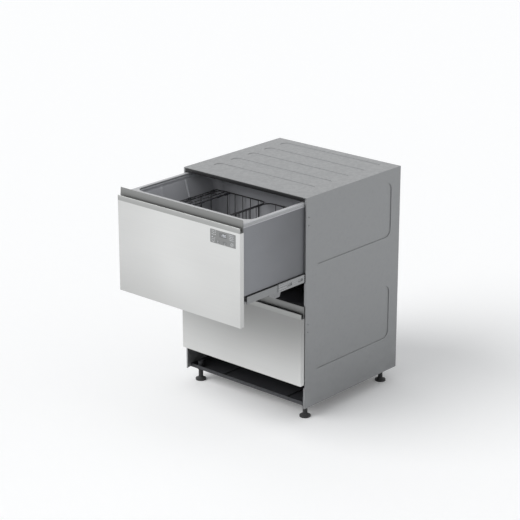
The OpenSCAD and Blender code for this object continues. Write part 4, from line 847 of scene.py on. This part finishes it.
class DISHWASHER_OT_finishes(bpy.types.Operator):
    """Materials of the parts that keep the shape of the CAD model"""
    bl_idname = "dishwasher.finishes"
    bl_label = "Finishes"

    def execute(self, context):
        steel, plastic = context.scene.dishwasher_steel, context.scene.dishwasher_plastic
        dark = tuple(plastic.dark)
        dipped("rack_wire", tuple(plastic.wire))
        moulded("clip_plastic", (0.05, 0.052, 0.06), 0.4, 1200)
        both = [d + "_" for d in DRAWERS]
        # painted light and shade: the upper front is lightest above its middle and darker towards its left
        # end
        coat(painted_light_runs(brushed_steel("front_steel", tuple(steel.front), 0.46),
                    [("Z", 0.43, 0.64, 0.92, 1.05), ("X", -0.3, -0.02, -0.1, 0.0)]), "upper_front_panel")
        # painted shadow and reflection: the lower front is darker at its top, under the upper drawer, and
        # lighter towards the floor, whose light it takes up
        coat(painted_light_runs(brushed_steel("lower_front_steel", tuple(steel.front), 0.46),
                    [("Z", 0.13, 0.42, 1.06, 0.52)]), "lower_front_panel")
        for drawer, (_, y, z) in DRAWERS.items():
            # painted shade and reflection: darker down in the finger channel, lighter towards the top of the
            # strip and on the lip
            coat(painted_light_runs(brushed_steel(f"{drawer}_handle_steel", tuple(steel.handle), 0.36),
                        [("Z", z - 0.026, z + 0.018, 0.45, 1.0), ("Y", y + 0.004, y + 0.0055, 1.0, 0.0)]),
                 f"{drawer}_handle")
            skin = moulded(f"{drawer}_skin_plastic", tuple(plastic.skin), 0.5, 500, 0.00005, 0.04)
            # painted shade: each side skin is darker from its front towards the back, inside the chassis
            coat(painted_light_runs(skin, [("Y", y + 0.02, y + 0.36, 1.06, 0.6)]), f"{drawer}_side_skins")
        coat(powder_coat("door_plastic", (0.05, 0.052, 0.058)), *[d + "door_frame" for d in both])
        coat(brushed_steel("runner_steel", tuple(steel.runner), 0.36, (900, 3, 900), 0.05),
             "upper_tracks", "lower_tracks", *[d + "rails" for d in both])
        coat(brushed_steel("carriage_steel", shade(tuple(steel.runner), 1.15), 0.26, (900, 3, 900), 0.05),
             "upper_carriages", "lower_carriages")
        coat(galvanised("chassis_sheet", tuple(steel.sheet)), "chassis_left_side", "chassis_right_side",
             "chassis_back_panel", "chassis_top_panel")
        coat(powder_coat("shelf_sheet", (0.03, 0.03, 0.033)), "middle_panel")
        coat(powder_coat("black_trim", dark, 0.45), "front_top_trim", "middle_rail")
        coat(powder_coat("tray_sheet", (0.035, 0.036, 0.04)), "base_tray")
        coat(moulded("actuator_plastic", (0.03, 0.031, 0.035), 0.4), "lid_actuators")
        coat(moulded("valve_white", (0.78, 0.78, 0.76), 0.4), "water_inlet_valve")
        coat(moulded("drain_plastic", (0.05, 0.052, 0.057), 0.4), "drain_connector")
        coat(galvanised("bracket_steel", (0.6, 0.6, 0.6), 0.35), "mounting_brackets")
        coat(rubber("foot_plastic", (0.02, 0.02, 0.021)),
             *[f"foot_{end}_{side}" for end in ("front", "rear") for side in ("left", "right")])
        coat(moulded("lid_plastic", (0.09, 0.092, 0.1), 0.45), "upper_lid", "lower_lid")
        coat(rubber("seal_rubber", (0.02, 0.02, 0.02)), "upper_lid_seal", "lower_lid_seal")
        for name, colour, rough, parts in (
                ("basket_plastic", (0.07, 0.073, 0.083), 0.42, ("cutlery_basket",)),
                ("arm_plastic", (0.38, 0.39, 0.41), 0.38, ("spray_arm",)),
                ("filter_plastic", (0.30, 0.31, 0.33), 0.42, ("filter_plate", "drain_filter")),
                ("motor_black", (0.03, 0.031, 0.034), 0.42, ("motor",)),
                ("dispenser_plastic", (0.5, 0.51, 0.53), 0.4, ("dispenser",)),
                ("slide_plastic", (0.2, 0.205, 0.22), 0.4, ("dispenser_lid",))):
            coat(moulded(name, colour, rough, 900), *[d + part for part in parts for d in both])
        coat(moulded("fascia_plastic", tuple(plastic.fascia), 0.35, 1400, 0.00002), "control_fascia")
        coat(moulded("key_plastic", (0.16, 0.163, 0.165), 0.32, 1400, 0.00002), "power_key", "program_key",
             "option_key", "start_key")
        coat(smoked("window_smoke", (0.13, 0.133, 0.134)), "display_window")
        return {"FINISHED"}


def aimed(obj, target):
    """Turns a lamp or camera towards a point."""
    obj.rotation_mode = "QUATERNION"
    obj.rotation_quaternion = (Vector(target) - obj.location).to_track_quat("-Z", "Y")
    return obj


class DISHWASHER_OT_stage(bpy.types.Operator):
    """Pale floor, soft lamps, even sky and the camera"""
    bl_idname = "dishwasher.stage"
    bl_label = "Stage"

    def execute(self, context):
        s = context.scene.dishwasher_stage
        m, nodes, links, shader = new_material("pale_floor")
        grain = pattern(nodes, links, 40, (1, 1, 1), 3)
        tint = ramp(nodes, links, grain.outputs["Fac"],
                    [(0.3, shade(tuple(s.floor), 0.985)), (0.7, tuple(s.floor))])
        links.new(tint.outputs["Color"], shader.inputs["Base Color"])
        shader.inputs["Roughness"].default_value = 0.9
        shader.inputs["Specular IOR Level"].default_value = 0.1
        shader.inputs["Emission Color"].default_value = (1, 1, 1, 1)
        seen_floor, lift = nodes.new("ShaderNodeLightPath"), nodes.new("ShaderNodeMath")
        lift.operation = "MULTIPLY"
        links.new(seen_floor.outputs["Is Camera Ray"], lift.inputs[0])
        lift.inputs[1].default_value = s.floor_lift
        links.new(lift.outputs[0], shader.inputs["Emission Strength"])
        reach = np.linspace(-30, 30, 13)
        x, y = np.meshgrid(reach, reach, indexing="ij")
        mesh = bpy.data.meshes.new("floor")
        points = np.stack([x, y, 0 * x - 0.0004], -1).reshape(-1, 3)
        mesh.from_pydata(points.tolist(), [], grid_faces(13, 13)[:, ::-1].tolist())
        mesh.materials.append(m)
        floor = bpy.data.objects.new("floor", mesh)
        context.scene.collection.objects.link(floor)

        world = bpy.data.worlds.new("studio")
        context.scene.world = world
        world.use_nodes = True
        n, link = world.node_tree.nodes, world.node_tree.links
        light = n["Background"]
        light.inputs["Color"].default_value = (0.97, 0.985, 1, 1)
        light.inputs["Strength"].default_value = s.sky
        seen = n.new("ShaderNodeBackground")
        seen.inputs["Color"].default_value = (1, 1, 1, 1)
        seen.inputs["Strength"].default_value = 1
        path = n.new("ShaderNodeLightPath")
        either, any_ray = n.new("ShaderNodeMath"), n.new("ShaderNodeMath")
        either.operation = any_ray.operation = "MAXIMUM"
        mix = n.new("ShaderNodeMixShader")
        link.new(path.outputs["Is Camera Ray"], either.inputs[0])
        link.new(path.outputs["Is Glossy Ray"], either.inputs[1])
        link.new(either.outputs[0], any_ray.inputs[0])
        link.new(path.outputs["Is Transmission Ray"], any_ray.inputs[1])
        link.new(any_ray.outputs[0], mix.inputs["Fac"])
        link.new(light.outputs[0], mix.inputs[1])
        link.new(seen.outputs[0], mix.inputs[2])
        link.new(mix.outputs[0], n["World Output"].inputs["Surface"])

        light = bpy.data.lights.new("high_lamp", "SUN")
        light.energy, light.angle = s.sun, math.radians(46)
        high = bpy.data.objects.new("high_lamp", light)
        high.location = (-3.2, -6.0, 5.8)
        context.scene.collection.objects.link(high)
        aimed(high, (0, 0, 0))
        data = bpy.data.cameras.new("camera")
        data.lens, data.sensor_width, data.clip_end = s.lens, 36, 100
        camera = bpy.data.objects.new("camera", data)
        camera.location = (4.1915, -4.7573, 2.7558)
        az, el = math.radians(41.439), math.radians(19.272)
        ahead = Vector((-math.sin(az) * math.cos(el), math.cos(az) * math.cos(el), -math.sin(el)))
        aimed(camera, camera.location + ahead)
        context.scene.collection.objects.link(camera)
        context.scene.camera = camera
        context.scene.view_settings.view_transform = "Standard"
        return {"FINISHED"}


class DISHWASHER_PT_panel(bpy.types.Panel):
    """Lists the pieces and their settings"""
    bl_idname = "DISHWASHER_PT_panel"
    bl_label = "Dishwasher"
    bl_space_type = "VIEW_3D"
    bl_region_type = "UI"
    bl_category = "Dishwasher"

    def draw(self, context):
        layout = self.layout
        for cls in OPERATORS:
            layout.operator(cls.bl_idname)
        for attribute, cls in SETTINGS.items():
            box = layout.box()
            box.label(text=cls.__name__)
            for name in cls.__annotations__:
                box.prop(getattr(context.scene, attribute), name)


OPERATORS = (DISHWASHER_OT_finishes, DISHWASHER_OT_tub_lining, DISHWASHER_OT_base_racks,
             DISHWASHER_OT_cup_racks, DISHWASHER_OT_controls, DISHWASHER_OT_stage)
SETTINGS = {"dishwasher_steel": SteelSettings, "dishwasher_plastic": PlasticSettings,
            "dishwasher_tub": TubSettings, "dishwasher_rack": RackSettings,
            "dishwasher_stage": StageSettings}


def register():
    for cls in (*SETTINGS.values(), *OPERATORS, DISHWASHER_PT_panel):
        bpy.utils.register_class(cls)
    for attribute, cls in SETTINGS.items():
        setattr(bpy.types.Scene, attribute, PointerProperty(type=cls))


def unregister():
    for attribute in SETTINGS:
        delattr(bpy.types.Scene, attribute)
    for cls in reversed((*SETTINGS.values(), *OPERATORS, DISHWASHER_PT_panel)):
        bpy.utils.unregister_class(cls)


def main():
    register()
    for cls in OPERATORS:
        group, name = cls.bl_idname.split(".")
        getattr(getattr(bpy.ops, group), name)()


if __name__ == "__main__":
    main()
